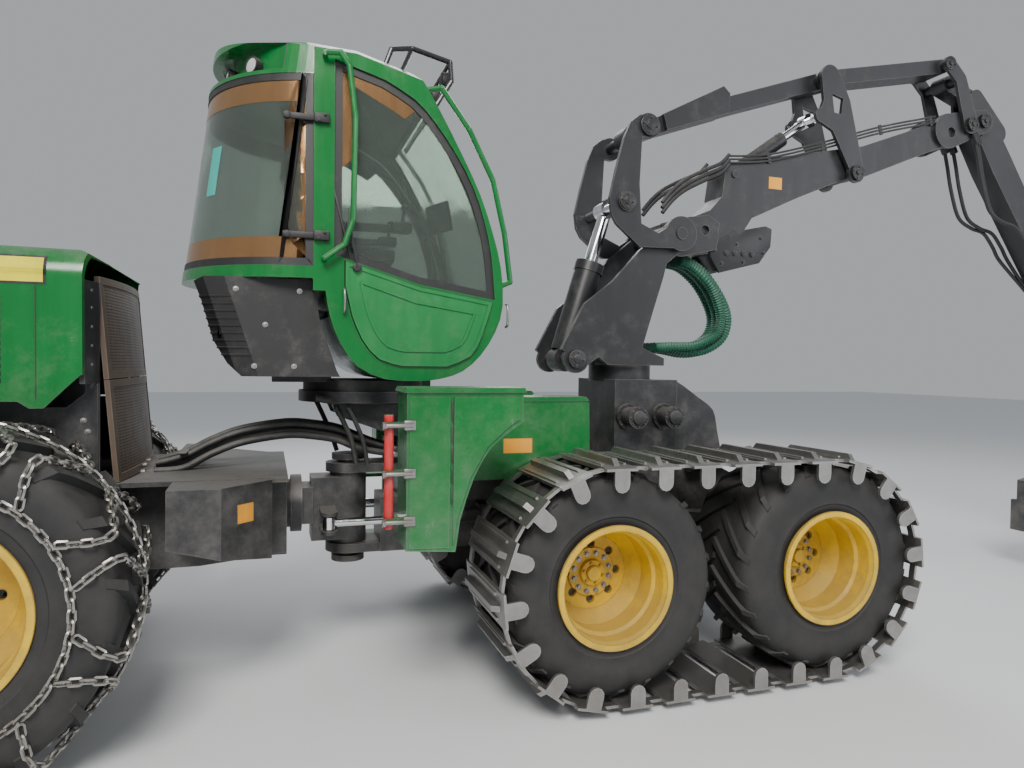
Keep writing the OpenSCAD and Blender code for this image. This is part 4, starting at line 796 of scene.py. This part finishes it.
def ringFrom(skin, start, width, thick, lift):
    # The band of a sheet between start and start + width from its edge
    piece = copyTo(skin, skin.matrix_world.copy())
    edit(piece)
    bpy.ops.mesh.select_mode(type="FACE")
    selectAll()
    if start:
        bpy.ops.mesh.inset(thickness=start, use_even_offset=True)
        selectAll("INVERT")
        bpy.ops.mesh.delete(type="FACE")
        selectAll()
        bpy.ops.mesh.remove_doubles(threshold=0.012)
    bpy.ops.mesh.inset(thickness=width, use_even_offset=not start)
    bpy.ops.mesh.delete(type="FACE")
    leave()
    return thicken(piece, thick, lift)


# The rear window bows round an axis that leans back from this point
postBack, windowFoot, leanBack = at(-2380, 2540).x, 2.54, radians(7.6)


def rearOutward(center, normal):
    axis = postBack + (center.z - windowFoot) * tan(leanBack)
    way = Vector((center.x - axis, center.y, 0))
    return way.length > 0.7 and normal.dot(way.normalized()) > 0.85


def frontOutward(center, normal):
    way = Vector((center.x - at(-2150, 0).x, 0, center.z - 2.95))
    return normal.x > 0.1 and normal.dot(way.normalized()) > 0.5


frontPlanes = [(at(-1990, 3000), (-1, 0, 0)), (at(0, 0, -680), (0, -1, 0)), (at(0, 0, 680), (0, 1, 0))]
panes = {
    "side": ("cab_windows", [(at(0, 2000, -710), (0, 1, 0))], lambda c, n: n.y < -0.9),
    "rear": ("cab_windows", [(at(-2380, 3000), (1, 0, 0))], rearOutward),
    "front": ("cab_windows", frontPlanes, frontOutward),
    "door": ("door_window", [], lambda c, n: n.y > 0.9),
}
for label, (node, planes, keep) in panes.items():
    skin = nodeSkin(node, planes, keep)
    body = "door" if label == "door" else "cab"
    seal = ringFrom(skin, 0.0, cabValues["sealWidth"], 0.009 if label != "rear" else 0.006, 0.0004)
    settle(seal, label + "Seal", "hose_rubber", body)
    if label in ("side", "rear", "door"):
        band = cabValues["rearFilm"] if label == "rear" else cabValues["filmWidth"]
        film = ringFrom(skin, cabValues["sealWidth"], band, 0.0008, 0.0004)
        if label != "rear":
            edit(film)
            bpy.ops.mesh.bisect(plane_co=at(-2150, 3180), plane_no=(0.66, 0, -0.75), clear_outer=True)
            leave()
        settle(film, label + "Film", "window_film", body, 30)
    bpy.data.objects.remove(skin)

strip = nodeSkin("cab_windows", betweenPlanes(at(-3100, 2965, -440), at(-2600, 3255, -360)), rearOutward)
settle(thicken(strip, 0.001, 0.0008), "tealStrip", "teal_plate", "cab", 30)

# Straps that hold the rear window's edge, on both sides
straps = []
for side in (-1, 1):
    for z in (3380, 2712):
        straps.append(block((0.25, 0.02, 0.036), at(-2425, z, side * 757), 0.006))
        straps.append(block((0.09, 0.034, 0.056), at(-2335, z, side * 765), 0.01))
        straps.append(disc(0.02, 0.03, at(-2525, z, side * 757), (0, side, 0), 20, 0.004))
        straps += boltRing(at(-2335, z, side * 781), 0.024, 2, 0.009, 0.008, (0, side, 0))
settle(straps, "windowStraps", "moulded_black", "cab")

# Wiper on the right window: its seat, arm, tube and blade
arm = [at(-2134, 2545, -785), at(-2150, 2640, -782), at(-2178, 2760, -764), at(-2190, 2800, -752)]
tube = [at(-2128, 2545, -778), at(-2142, 2640, -775), at(-2170, 2760, -758)]
wiper = [disc(0.026, 0.05, at(-2134, 2542, -762), (0, -1, 0), 24, 0.005),
         sweep(arm, 0.008, 8), sweep(tube, 0.005, 8),
         block((0.016, 0.02, 0.5), at(-2205, 2750, -738), 0.004, (0, radians(-14), 0))]
settle(wiper, "sideWiper", "moulded_black", "cab", 40)

# Lamps: a case, a bezel and a lens each
# Each lamp is made with its axis upright and then laid level
levelOut = Matrix.Rotation(radians(90), 4, "Y")
high = (3.745 - windowFoot) / cos(leanBack) - 0.75 * tan(leanBack)
lean = Matrix.Translation(at(-2250, 2540)) @ Matrix.Rotation(leanBack, 4, "Y")
lampSpots = []
for turn in (-38, -13, 13, 38):
    place = lean @ Matrix.Translation((0, 0, high)) @ Matrix.Rotation(radians(180 + turn), 4, "Z")
    place = place @ Matrix.Translation((0.7503, 0, 0))
    lampSpots.append((place @ levelOut, 0.056, 0.05))
for y in (-165, 165):
    lampSpots.append((Matrix.Translation(at(-1510, 3990 - 77.3, y)) @ levelOut, 0.06, 0.06))
cases, lenses = [], []
for matrix, radius, deep in lampSpots:
    wide = radius * radius
    case = disc(radius * 0.97, deep * 0.8, (0, 0, deep * 0.4), (0, 0, 1), 40, 0.004)
    applyPlace(case)
    selectFaces(case, lambda face: face.normal.z > 0.99 and face.center.length > deep * 0.5
                and face.area > wide)
    bpy.ops.mesh.inset(thickness=radius * 0.12)
    bpy.ops.mesh.extrude_region_move(TRANSFORM_OT_translate={"value": (0, 0, -deep * 0.45)})
    bpy.ops.mesh.inset(thickness=radius * 0.3)
    leave()
    bezel = disc(radius, deep * 0.22, (0, 0, deep * 0.86), (0, 0, 1), 40, 0.003)
    applyPlace(bezel)
    selectFaces(bezel, lambda face: abs(face.normal.z) > 0.99 and face.area > wide)
    bpy.ops.mesh.inset(thickness=radius * 0.13)
    bpy.ops.mesh.bridge_edge_loops(type="SINGLE")
    leave()
    case = joined([case, bezel])
    case.matrix_world = matrix @ case.matrix_world
    cases.append(case)
    bpy.ops.mesh.primitive_uv_sphere_add(segments=32, ring_count=12, radius=radius * 0.86)
    lens = bpy.context.object
    lens.scale = (1, 1, 0.16)
    lens.location = (0, 0, deep * 0.84)
    applyPlace(lens)
    lens.matrix_world = matrix
    lenses.append(lens)
settle(cases, "lampCases", "moulded_black", "cab", 35)
lenses = settle(lenses, "lampLenses", "lamp_glass", "cab", 60)
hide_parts("cab_lamps")


def cushion(size, place, turn=0.0, crown=0.02):
    # A padded block whose faces swell between its edges
    piece = block(size, (0, 0, 0), 0)
    edit(piece)
    bpy.ops.mesh.subdivide(number_cuts=11)
    leave()
    half = Vector(size) / 2
    for vertex in piece.data.vertices:
        c = vertex.co
        u, v, w = c.x / half.x, c.y / half.y, c.z / half.z
        a, b, d = 1 - u * u, 1 - v * v, 1 - w * w
        swell = Vector((u * b * d, v * a * d, w * a * b))
        channel = 0.5 + 0.5 * cos(c.y / size[1] * 2 * pi * 3)
        corner = abs(u * v * w) ** 3
        vertex.co = c + swell * crown * (0.6 + 0.4 * channel) - Vector((u, v, w)) * 0.012 * corner
    modify(piece, "BEVEL", width=0.012, segments=2)
    modify(piece, "SUBSURF", levels=1, render_levels=1)
    piece.matrix_world = Matrix.Translation(place) @ Matrix.Rotation(turn, 4, "Y")
    return piece


backLean = radians(-9.5)
pads = [cushion((0.47, 0.45, 0.1), at(-2060, 2700)),
        cushion((0.09, 0.42, 0.62), at(-2250, 3060), backLean),
        cushion((0.075, 0.3, 0.16), at(-2325, 3400), backLean)]
seat = settle(pads, "seatCushions", "seat_cloth", "cab", 60)
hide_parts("seat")
frameParts = [disc(0.1, 0.05, at(-2060, 2318), (0, 0, 1), 32),
              disc(0.06, 0.32, at(-2060, 2490), (0, 0, 1), 32),
              block((0.42, 0.4, 0.03), at(-2060, 2635), 0.008)]
for side in (-1, 1):
    frameParts.append(block((0.36, 0.075, 0.05), at(-2010, 2860, side * 300), 0.014))
    frameParts.append(block((0.05, 0.05, 0.2), at(-2160, 2760, side * 295), 0.01))
    frameParts.append(block((0.14, 0.11, 0.07), at(-1800, 2870, side * 300), 0.02))
    frameParts.append(sweep(drawn(((-1790, 2890), (-1785, 2950), (-1775, 2990)), side * 300), 0.012, 10))
    bpy.ops.mesh.primitive_uv_sphere_add(segments=20, ring_count=12, radius=0.026,
                                         location=at(-1775, 3000, side * 300))
    frameParts.append(bpy.context.object)
screenTurn = (0, radians(-12), radians(18))
frameParts.append(block((0.03, 0.26, 0.19), at(-1560, 2940, -360), 0.01, screenTurn))
frameParts.append(sweep([at(-1560, 2850, -360), at(-1540, 2700, -400), at(-1500, 2420, -430)], 0.014, 8))
settle(frameParts, "seatFrame", "moulded_black", "cab", 35)
floorPad = block((0.9, 1.2, 0.012), at(-1980, 2297), 0.003)
settle(floorPad, "floorMat", "hose_rubber", "cab", 35)

# Recessed field, handle and rim of the bin under the right window
skin = nodeSkin("storage_bin", [], lambda c, n: n.y < -0.9)
settle(ringFrom(skin, 0.0, 0.022, 0.006, 0.0003), "binRim", "bin_green", "cab")
settle(ringFrom(skin, 0.085, 0.016, 0.007, 0.0003), "binRidge", "bin_green", "cab")
bpy.data.objects.remove(skin)
handles = []
for x, z, y in ((-2205, 2345, -762), (-1215, 2290, -762)):
    grip = [at(x, z + dz, y + dy) for dz, dy in ((70, 12), (60, -22), (0, -30), (-60, -22), (-70, 12))]
    handles.append(hose(grip, 4, 0.008, 10))
settle(handles, "binHandles", "bare_steel", "cab", 50)
# Door handle and lock on the left
doorParts = [block((0.13, 0.03, 0.05), at(-1420, 2560, 762), 0.008),
             disc(0.022, 0.02, at(-1360, 2500, 758), (0, 1, 0), 24)]
settle(doorParts, "doorHandle", "moulded_black", "door", 35)
print("cab made")

# Hood: upright bars over the grille slots, blank strip, seams and bolts
hoodValues = {"barStep": 30, "barWide": 0.011}
bars = []
for side in (-1, 1):
    for k in range(2):
        slot = -4400 + k * 270
        for x in range(slot + hoodValues["barStep"], slot + 240, hoodValues["barStep"]):
            bars.append(block((hoodValues["barWide"], 0.012, 0.462), at(x, 2083, side * 839),
                              0.002, segments=1))
settle(bars, "grilleBars", "paint_green", "rear_body")
# Black sheets behind the grille slots are painted shade for the dark inside of the hood
shades = [block((0.56, 0.006, 0.5), at(-4145, 2083, side * 815), 0.002) for side in (-1, 1)]
settle(shades, "grilleShade", "moulded_black", "rear_body")
for side, name in ((-1, "right"), (1, "left")):
    near, far = (-900, -600) if side < 0 else (600, 900)
    low, high = at(-5100, 2375, near), at(-3705, 2500, far)
    stripe = skinPatch("hood", low, high, (0, side, 0.25), 0.0025)
    border = skinPatch("hood", low - Vector((0, 0, 0.012)), high + Vector((0.014, 0, 0.012)),
                       (0, side, 0.25), 0.0012)
    settle(border, "hoodStripeBorder_" + name, "moulded_black", "rear_body")
    settle(stripe, "hoodStripe_" + name, "stripe_yellow", "rear_body", 30)
    seam = skinPatch("hood", at(-3742, 1780, near), at(-3736, 2380, far), (0, side, 0), 0.001)
    settle(seam, "hoodSeam_" + name, "moulded_black", "rear_body")
bolts = sideBolts(((-3560, 1660), (-3540, 1600), (-3720, 1500),
                   (-3640, 1390), (-3860, 1450), (-3900, 1600)), 690)
for side in (-1, 1):
    for z in (1960, 2060, 2160, 2260, 2350):
        bolts += oneBolt(at(-3512, z, side * 746), 0.009, 0.008, (0.85, side * 0.5, 0))
settle(bolts, "panelBolts", "bare_steel", "rear_body")

# Hydraulic hoses over the joint: from the rear deck to the joint piece, then on to the front frame
# Place across, radius and rise of each hose
hoseRuns = [(-70, 26, 0), (10, 24, 25), (-150, 22, -20), (90, 26, 10),
            (-15, 20, 62), (-110, 20, 46), (150, 20, -14)]
hoseSteps = 6
rearHoses, frontHoses, fittings = [], [], []
for y, radius, lift in hoseRuns:
    back = [at(x, z + lift * share, y * spread) for x, z, share, spread in (
        (-3300, 1325, 0.5, 1.6), (-3120, 1345, 1, 1.45), (-2960, 1425, 1, 1.3), (-2780, 1490, 1, 1.1),
        (-2510, 1530, 1, 1), (-2330, 1518, 1, 1))]
    front = [at(x, z + lift * share, y * spread) for x, z, share, spread in (
        (-2330, 1518, 1, 1), (-2180, 1490, 1, 1.05), (-2060, 1440, 1, 1.2), (-1900, 1400, 0.6, 1.3),
        (-1790, 1385, 0.5, 1.3))]
    whole = smoothRoute(back[:-1] + front, hoseSteps)
    cut = (len(back) - 1) * hoseSteps
    rearHoses.append(sweep(whole[:cut + 1], radius / 1000, 12))
    frontHoses.append(sweep(whole[cut:], radius / 1000, 12))
    for place, ahead in ((back[0], Vector((1, 0, 0.1))), (front[-1], Vector((1, 0, 0)))):
        fittings.append((place, ahead, radius / 1000))
rearHoses = settle(rearHoses, "jointHosesRear", "hose_rubber", None, 50)
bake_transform(rearHoses)
frontHoses = settle(frontHoses, "jointHosesFront", "hose_rubber", None, 50)
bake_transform(frontHoses)
for body, group, name in (("rear_body", fittings[0::2], "rearHoseFittings"),
                          ("front_body", fittings[1::2], "frontHoseFittings")):
    made = []
    for place, ahead, radius in group:
        made.append(disc(radius * 1.35, 0.05, place, ahead, 6, 0.003))
        made.append(disc(radius * 1.18, 0.09, place - ahead * 0.02, ahead, 20, 0.003))
    settle(made, name, "bare_steel", body)
clamp = [block((0.05, 0.5, 0.02), at(-3120, 1300), 0.004), block((0.05, 0.52, 0.012), at(-3120, 1420), 0.004)]
settle(clamp, "hoseClamp", "paint_black", "rear_body")
# Lines under the cab on the front frame
lines = []
for points, y, radius in (([(-2335, 1760), (-2200, 1740), (-1980, 1735), (-1820, 1745)], -330, 24),
                          ([(-2210, 1700), (-2160, 1600), (-2110, 1480), (-2080, 1330)], -300, 17),
                          ([(-2140, 1700), (-2085, 1590), (-2040, 1470), (-2015, 1330)], -360, 15),
                          ([(-2300, 1720), (-2240, 1590), (-2190, 1470), (-2150, 1350)], 300, 17)):
    lines.append(hose(drawn(points, y), 6, radius / 1000, 12))
settle(lines, "frameLines", "hose_rubber", "front_body", 50)

# Cabinet: slots, red lock bar and latches, then blank plates, and the ribs and bolts of the cab's pan
# The slots are black strips on the surface: painted shade for the openings
marks = [block((0.007, 0.003, (z1 - z0) / 1000), at(-1700, (z0 + z1) / 2, -1361.5), 0.001)
         for z0, z1 in ((1240, 1330), (1350, 1440), (1460, 1550), (1570, 1660), (1680, 1790))]
settle(marks, "cabinetSlots", "moulded_black", "front_body")
bar = [disc(0.0245, (z1 - z0) / 1000, at(-2029, (z0 + z1) / 2, -1329), (0, 0, 1), 28, 0.002)
       for z0, z1 in ((1126, 1149), (1181, 1399), (1431, 1649), (1681, 1719))]
settle(bar, "lockBar", "bar_red", "front_body", 30)
latches = []
for z in (1165, 1415, 1665):
    latches.append(disc(0.012, 0.16, at(-1990, z, -1372), (1, 0, 0), 16, 0.003))
    latches.append(disc(0.02, 0.02, at(-2059, z, -1376), (1, 0, 0), 6, 0.002))
    latches.append(block((0.06, 0.012, 0.05), at(-1925, z, -1362), 0.004))
    latches += oneBolt(at(-1925, z, -1368), 0.01, 0.01, (0, -1, 0))
settle(latches, "cabinetLatches", "bare_steel", "front_body")
blankPlates = {
    "boxPlate": ("side_boxes", at(-1195, 1417, -700), at(-1000, 1511, -600), "front_body"),
    "boomPlate": ("boom", at(1195, 3425, -160), at(1320, 3520, -90), "boom_body"),
    "deckPlate": ("rear_frame", at(-2780, 1095, -900), at(-2700, 1200, -780), "rear_body"),
}
for name, (node, low, high, body) in blankPlates.items():
    plate = skinPatch(node, low, high, (0, -1, 0), 0.0015)
    settle(plate, name, "plate_orange", body, 30)
ribs = [skinPatch("cab_pan", at(-3060, z, -660), at(-2560, z + 9, 660), (-1, 0, 0), 0.005)
        for z in range(2020, 2398, 42)]
settle(ribs, "panRibs", "moulded_black", "cab")
panBolts = sideBolts(((-2450, 2400), (-2800, 2400), (-2480, 1960), (-2700, 1960), (-2640, 2200)), 650)
settle(panBolts, "panBolts", "bare_steel", "cab")

# Slew base: caps with bolt rings, and the ends of the cross cylinders
caps = []
for x in (-145, 145):
    for side in (-1, 1):
        face = at(x, 1620, side * 510)
        caps.append(disc(0.05, 0.024, face + across(side * 0.012), (0, side, 0), 36, 0.004))
        caps += boltRing(face, 0.064, 8, 0.007, 0.008, (0, side, 0))
        caps += boltRing(at(x, 1620, side * 361), 0.084, 10, 0.006, 0.008, (0, side, 0))
settle(caps, "slewCaps", "paint_black", "front_body")

# Crane: pin covers with bolts
pinCovers = {
    "boomPin": ((280, 2970), 0.31, 0.075, "pillar_body"),
    "liftLow": ((-530, 2030), 0.297, 0.066, "pillar_body"),
    "liftEye": ((-180, 3170), 0.0, 0.062, "rocker_body"),
    "rockerTop": ((-5, 3730), 0.0, 0.075, "rocker_body"),
    "linkLow": ((2010, 3610), 0.206, 0.062, "boom_body"),
    "linkTop": ((1725, 4370), 0.0, 0.062, "mid_link_body"),
    "endLow": ((3260, 4150), 0.206, 0.06, "boom_body"),
    "endHigh": ((3000, 4650), 0.0, 0.058, "end_link_body"),
    "stickPin": ((3450, 4210), 0.171, 0.062, "boom_body"),
}


def reachOf(node, place, radius):
    # How far the node's metal reaches outwards near a pin
    return max(abs(vertex.co.y) for vertex in nodes[node].data.vertices
               if hypot(vertex.co.x - place.x, vertex.co.z - place.z) < radius + 0.02)


for name, ((x, z), half, radius, body) in pinCovers.items():
    place = at(x, z)
    if not half:
        half = reachOf(body.replace("_body", ""), place, radius)
    parts = []
    for side in (-1, 1):
        face = place + across(side * half)
        parts.append(disc(radius, 0.01, face + across(side * 0.005), (0, side, 0), 40, 0.003))
        parts.append(disc(radius * 0.45, 0.022, face + across(side * 0.011), (0, side, 0), 28, 0.004))
        parts += boltRing(face + across(side * 0.01), radius * 0.72, 4, 0.008, 0.009, (0, side, 0), 0.6)
    settle(parts, name + "Covers", "paint_black", body)
print("hood, frame and pins made")

# Crane hoses: a bundle along the boom's root, ridged sleeves at the pillar, loops at the stick
rootRoute = [(215, 3190), (300, 3290), (405, 3375), (575, 3465), (725, 3535), (800, 3610)]
bundle = [hose([point + Vector((0, 0, dz)) for point in drawn(rootRoute, y)], 6, radius, 10)
          for y, dz, radius in ((-152, 0, 0.017), (-152, 0.04, 0.015), (-156, -0.038, 0.016),
                                (152, 0, 0.017), (152, 0.04, 0.015))]
settle(bundle, "boomRootHoses", "hose_rubber", "boom_body", 50)
sleeve = []
for y, grow in ((-112, -70), (-60, 20), (-10, -45), (45, 35), (100, -20)):
    # Place, then how far the sleeve grows out and up there
    route = [at(x + grow * out, z + grow * up, y) for x, z, out, up in (
        (395, 2815, 0, 0.3), (520, 2790, 0, 0.5), (665, 2690, 0, 0.8), (790, 2530, 0.7, 0.3),
        (850, 2375, 1, 0), (810, 2230, 0.9, -0.4), (675, 2140, 0.4, -0.7),
        (515, 2110, 0, -0.5), (340, 2125, 0, -0.2), (190, 2130, 0, 0))]
    sleeve.append(hose(route, 14, 0.034, 14, 0.006))
sleeve = settle(sleeve, "ridgedSleeves", "sleeve_green", None, 20)
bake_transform(sleeve)
loops = []
for y, shift in ((-165, 0), (-135, 60), (165, 20), (135, 90)):
    route = [at(x + shift, z, y) for x, z in ((3330, 4040), (3375, 3880), (3430, 3660), (3530, 3420),
                                              (3690, 3330), (3850, 3290), (3970, 3170), (4050, 3060))]
    route += [at(4200 + shift * 0.5, 2905, y * 0.8), at(4370 + shift * 0.2, 2740, y * 0.62),
              at(4475, 2600, y * 0.5)]
    loops += [hose(route, 7, 0.0165, 10), block((0.1, 0.05, 0.05), route[0], 0.006, (0, radians(60), 0)),
              disc(0.024, 0.06, route[-1], (0.58, 0, -0.81), 6, 0.003)]
loops = settle(loops, "stickHoses", "hose_rubber", None, 50)
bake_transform(loops)
manifold = [block((0.26, 0.2, 0.1), at(4526, 2527), 0.008, (0, radians(54.5), 0))]
for y in (-60, 0, 60):
    manifold.append(disc(0.02, 0.14, at(4545, 2500, y), (0.81, 0, 0.58), 20, 0.003))
settle(manifold, "stickManifold", "paint_black", "stick_body")
# Guarded valve block that hangs under the boom's root
outline = [(660, 2845), (640, 2925), (885, 3060), (1165, 3120),
           (1225, 3100), (1215, 2955), (1110, 2820), (740, 2725)]
valveGuard = []
for y, wide in ((-128, 0.02), (128, 0.02), (0, 0.236)):
    inner = 0 if abs(y) > 1 else 22
    bpy.ops.mesh.primitive_circle_add(vertices=len(outline), radius=1.0, fill_type="NGON")
    plate = bpy.context.object
    for vertex, (x, z) in zip(plate.data.vertices, outline):
        dx, dz = (inner if x < 900 else -inner), (inner if z < 2960 else -inner * 2)
        vertex.co = at(x + dx, z + dz, y - wide * 500)
    edit(plate)
    bpy.ops.mesh.extrude_region_move(TRANSFORM_OT_translate={"value": (0, wide, 0)})
    facesOutward()
    bpy.ops.mesh.bevel(offset=0.004, segments=2, affect="EDGES")
    leave()
    valveGuard.append(plate)
valveGuard += sideBolts(((760, 2800), (700, 2900), (900, 2960), (1120, 3020), (1150, 2900), (960, 2820)), 138)
for x in (800, 880, 960, 1040):
    valveGuard.append(disc(0.024, 0.3, at(x, 2885, 0), (0, 1, 0), 20, 0.004))
settle(valveGuard, "valveGuard", "paint_black", "boom_body")
# Steel pipes along the boom's right side, in clips
pipes = []
pipeRoute = ((800, 3590), (1180, 3640), (1700, 3790), (2300, 3985), (2900, 4140))
for dz in (0, 26, 52):
    pipes.append(hose([at(x, z + dz, -139) for x, z in pipeRoute], 5, 0.0085, 8))
for x, z in ((1180, 3640), (1700, 3790), (2300, 3985), (2850, 4125)):
    pipes.append(block((0.03, 0.014, 0.085), at(x, z + 26, -137), 0.003, (0, radians(-17), 0)))
settle(pipes, "boomPipes", "paint_black", "boom_body", 40)
print("hoses made")
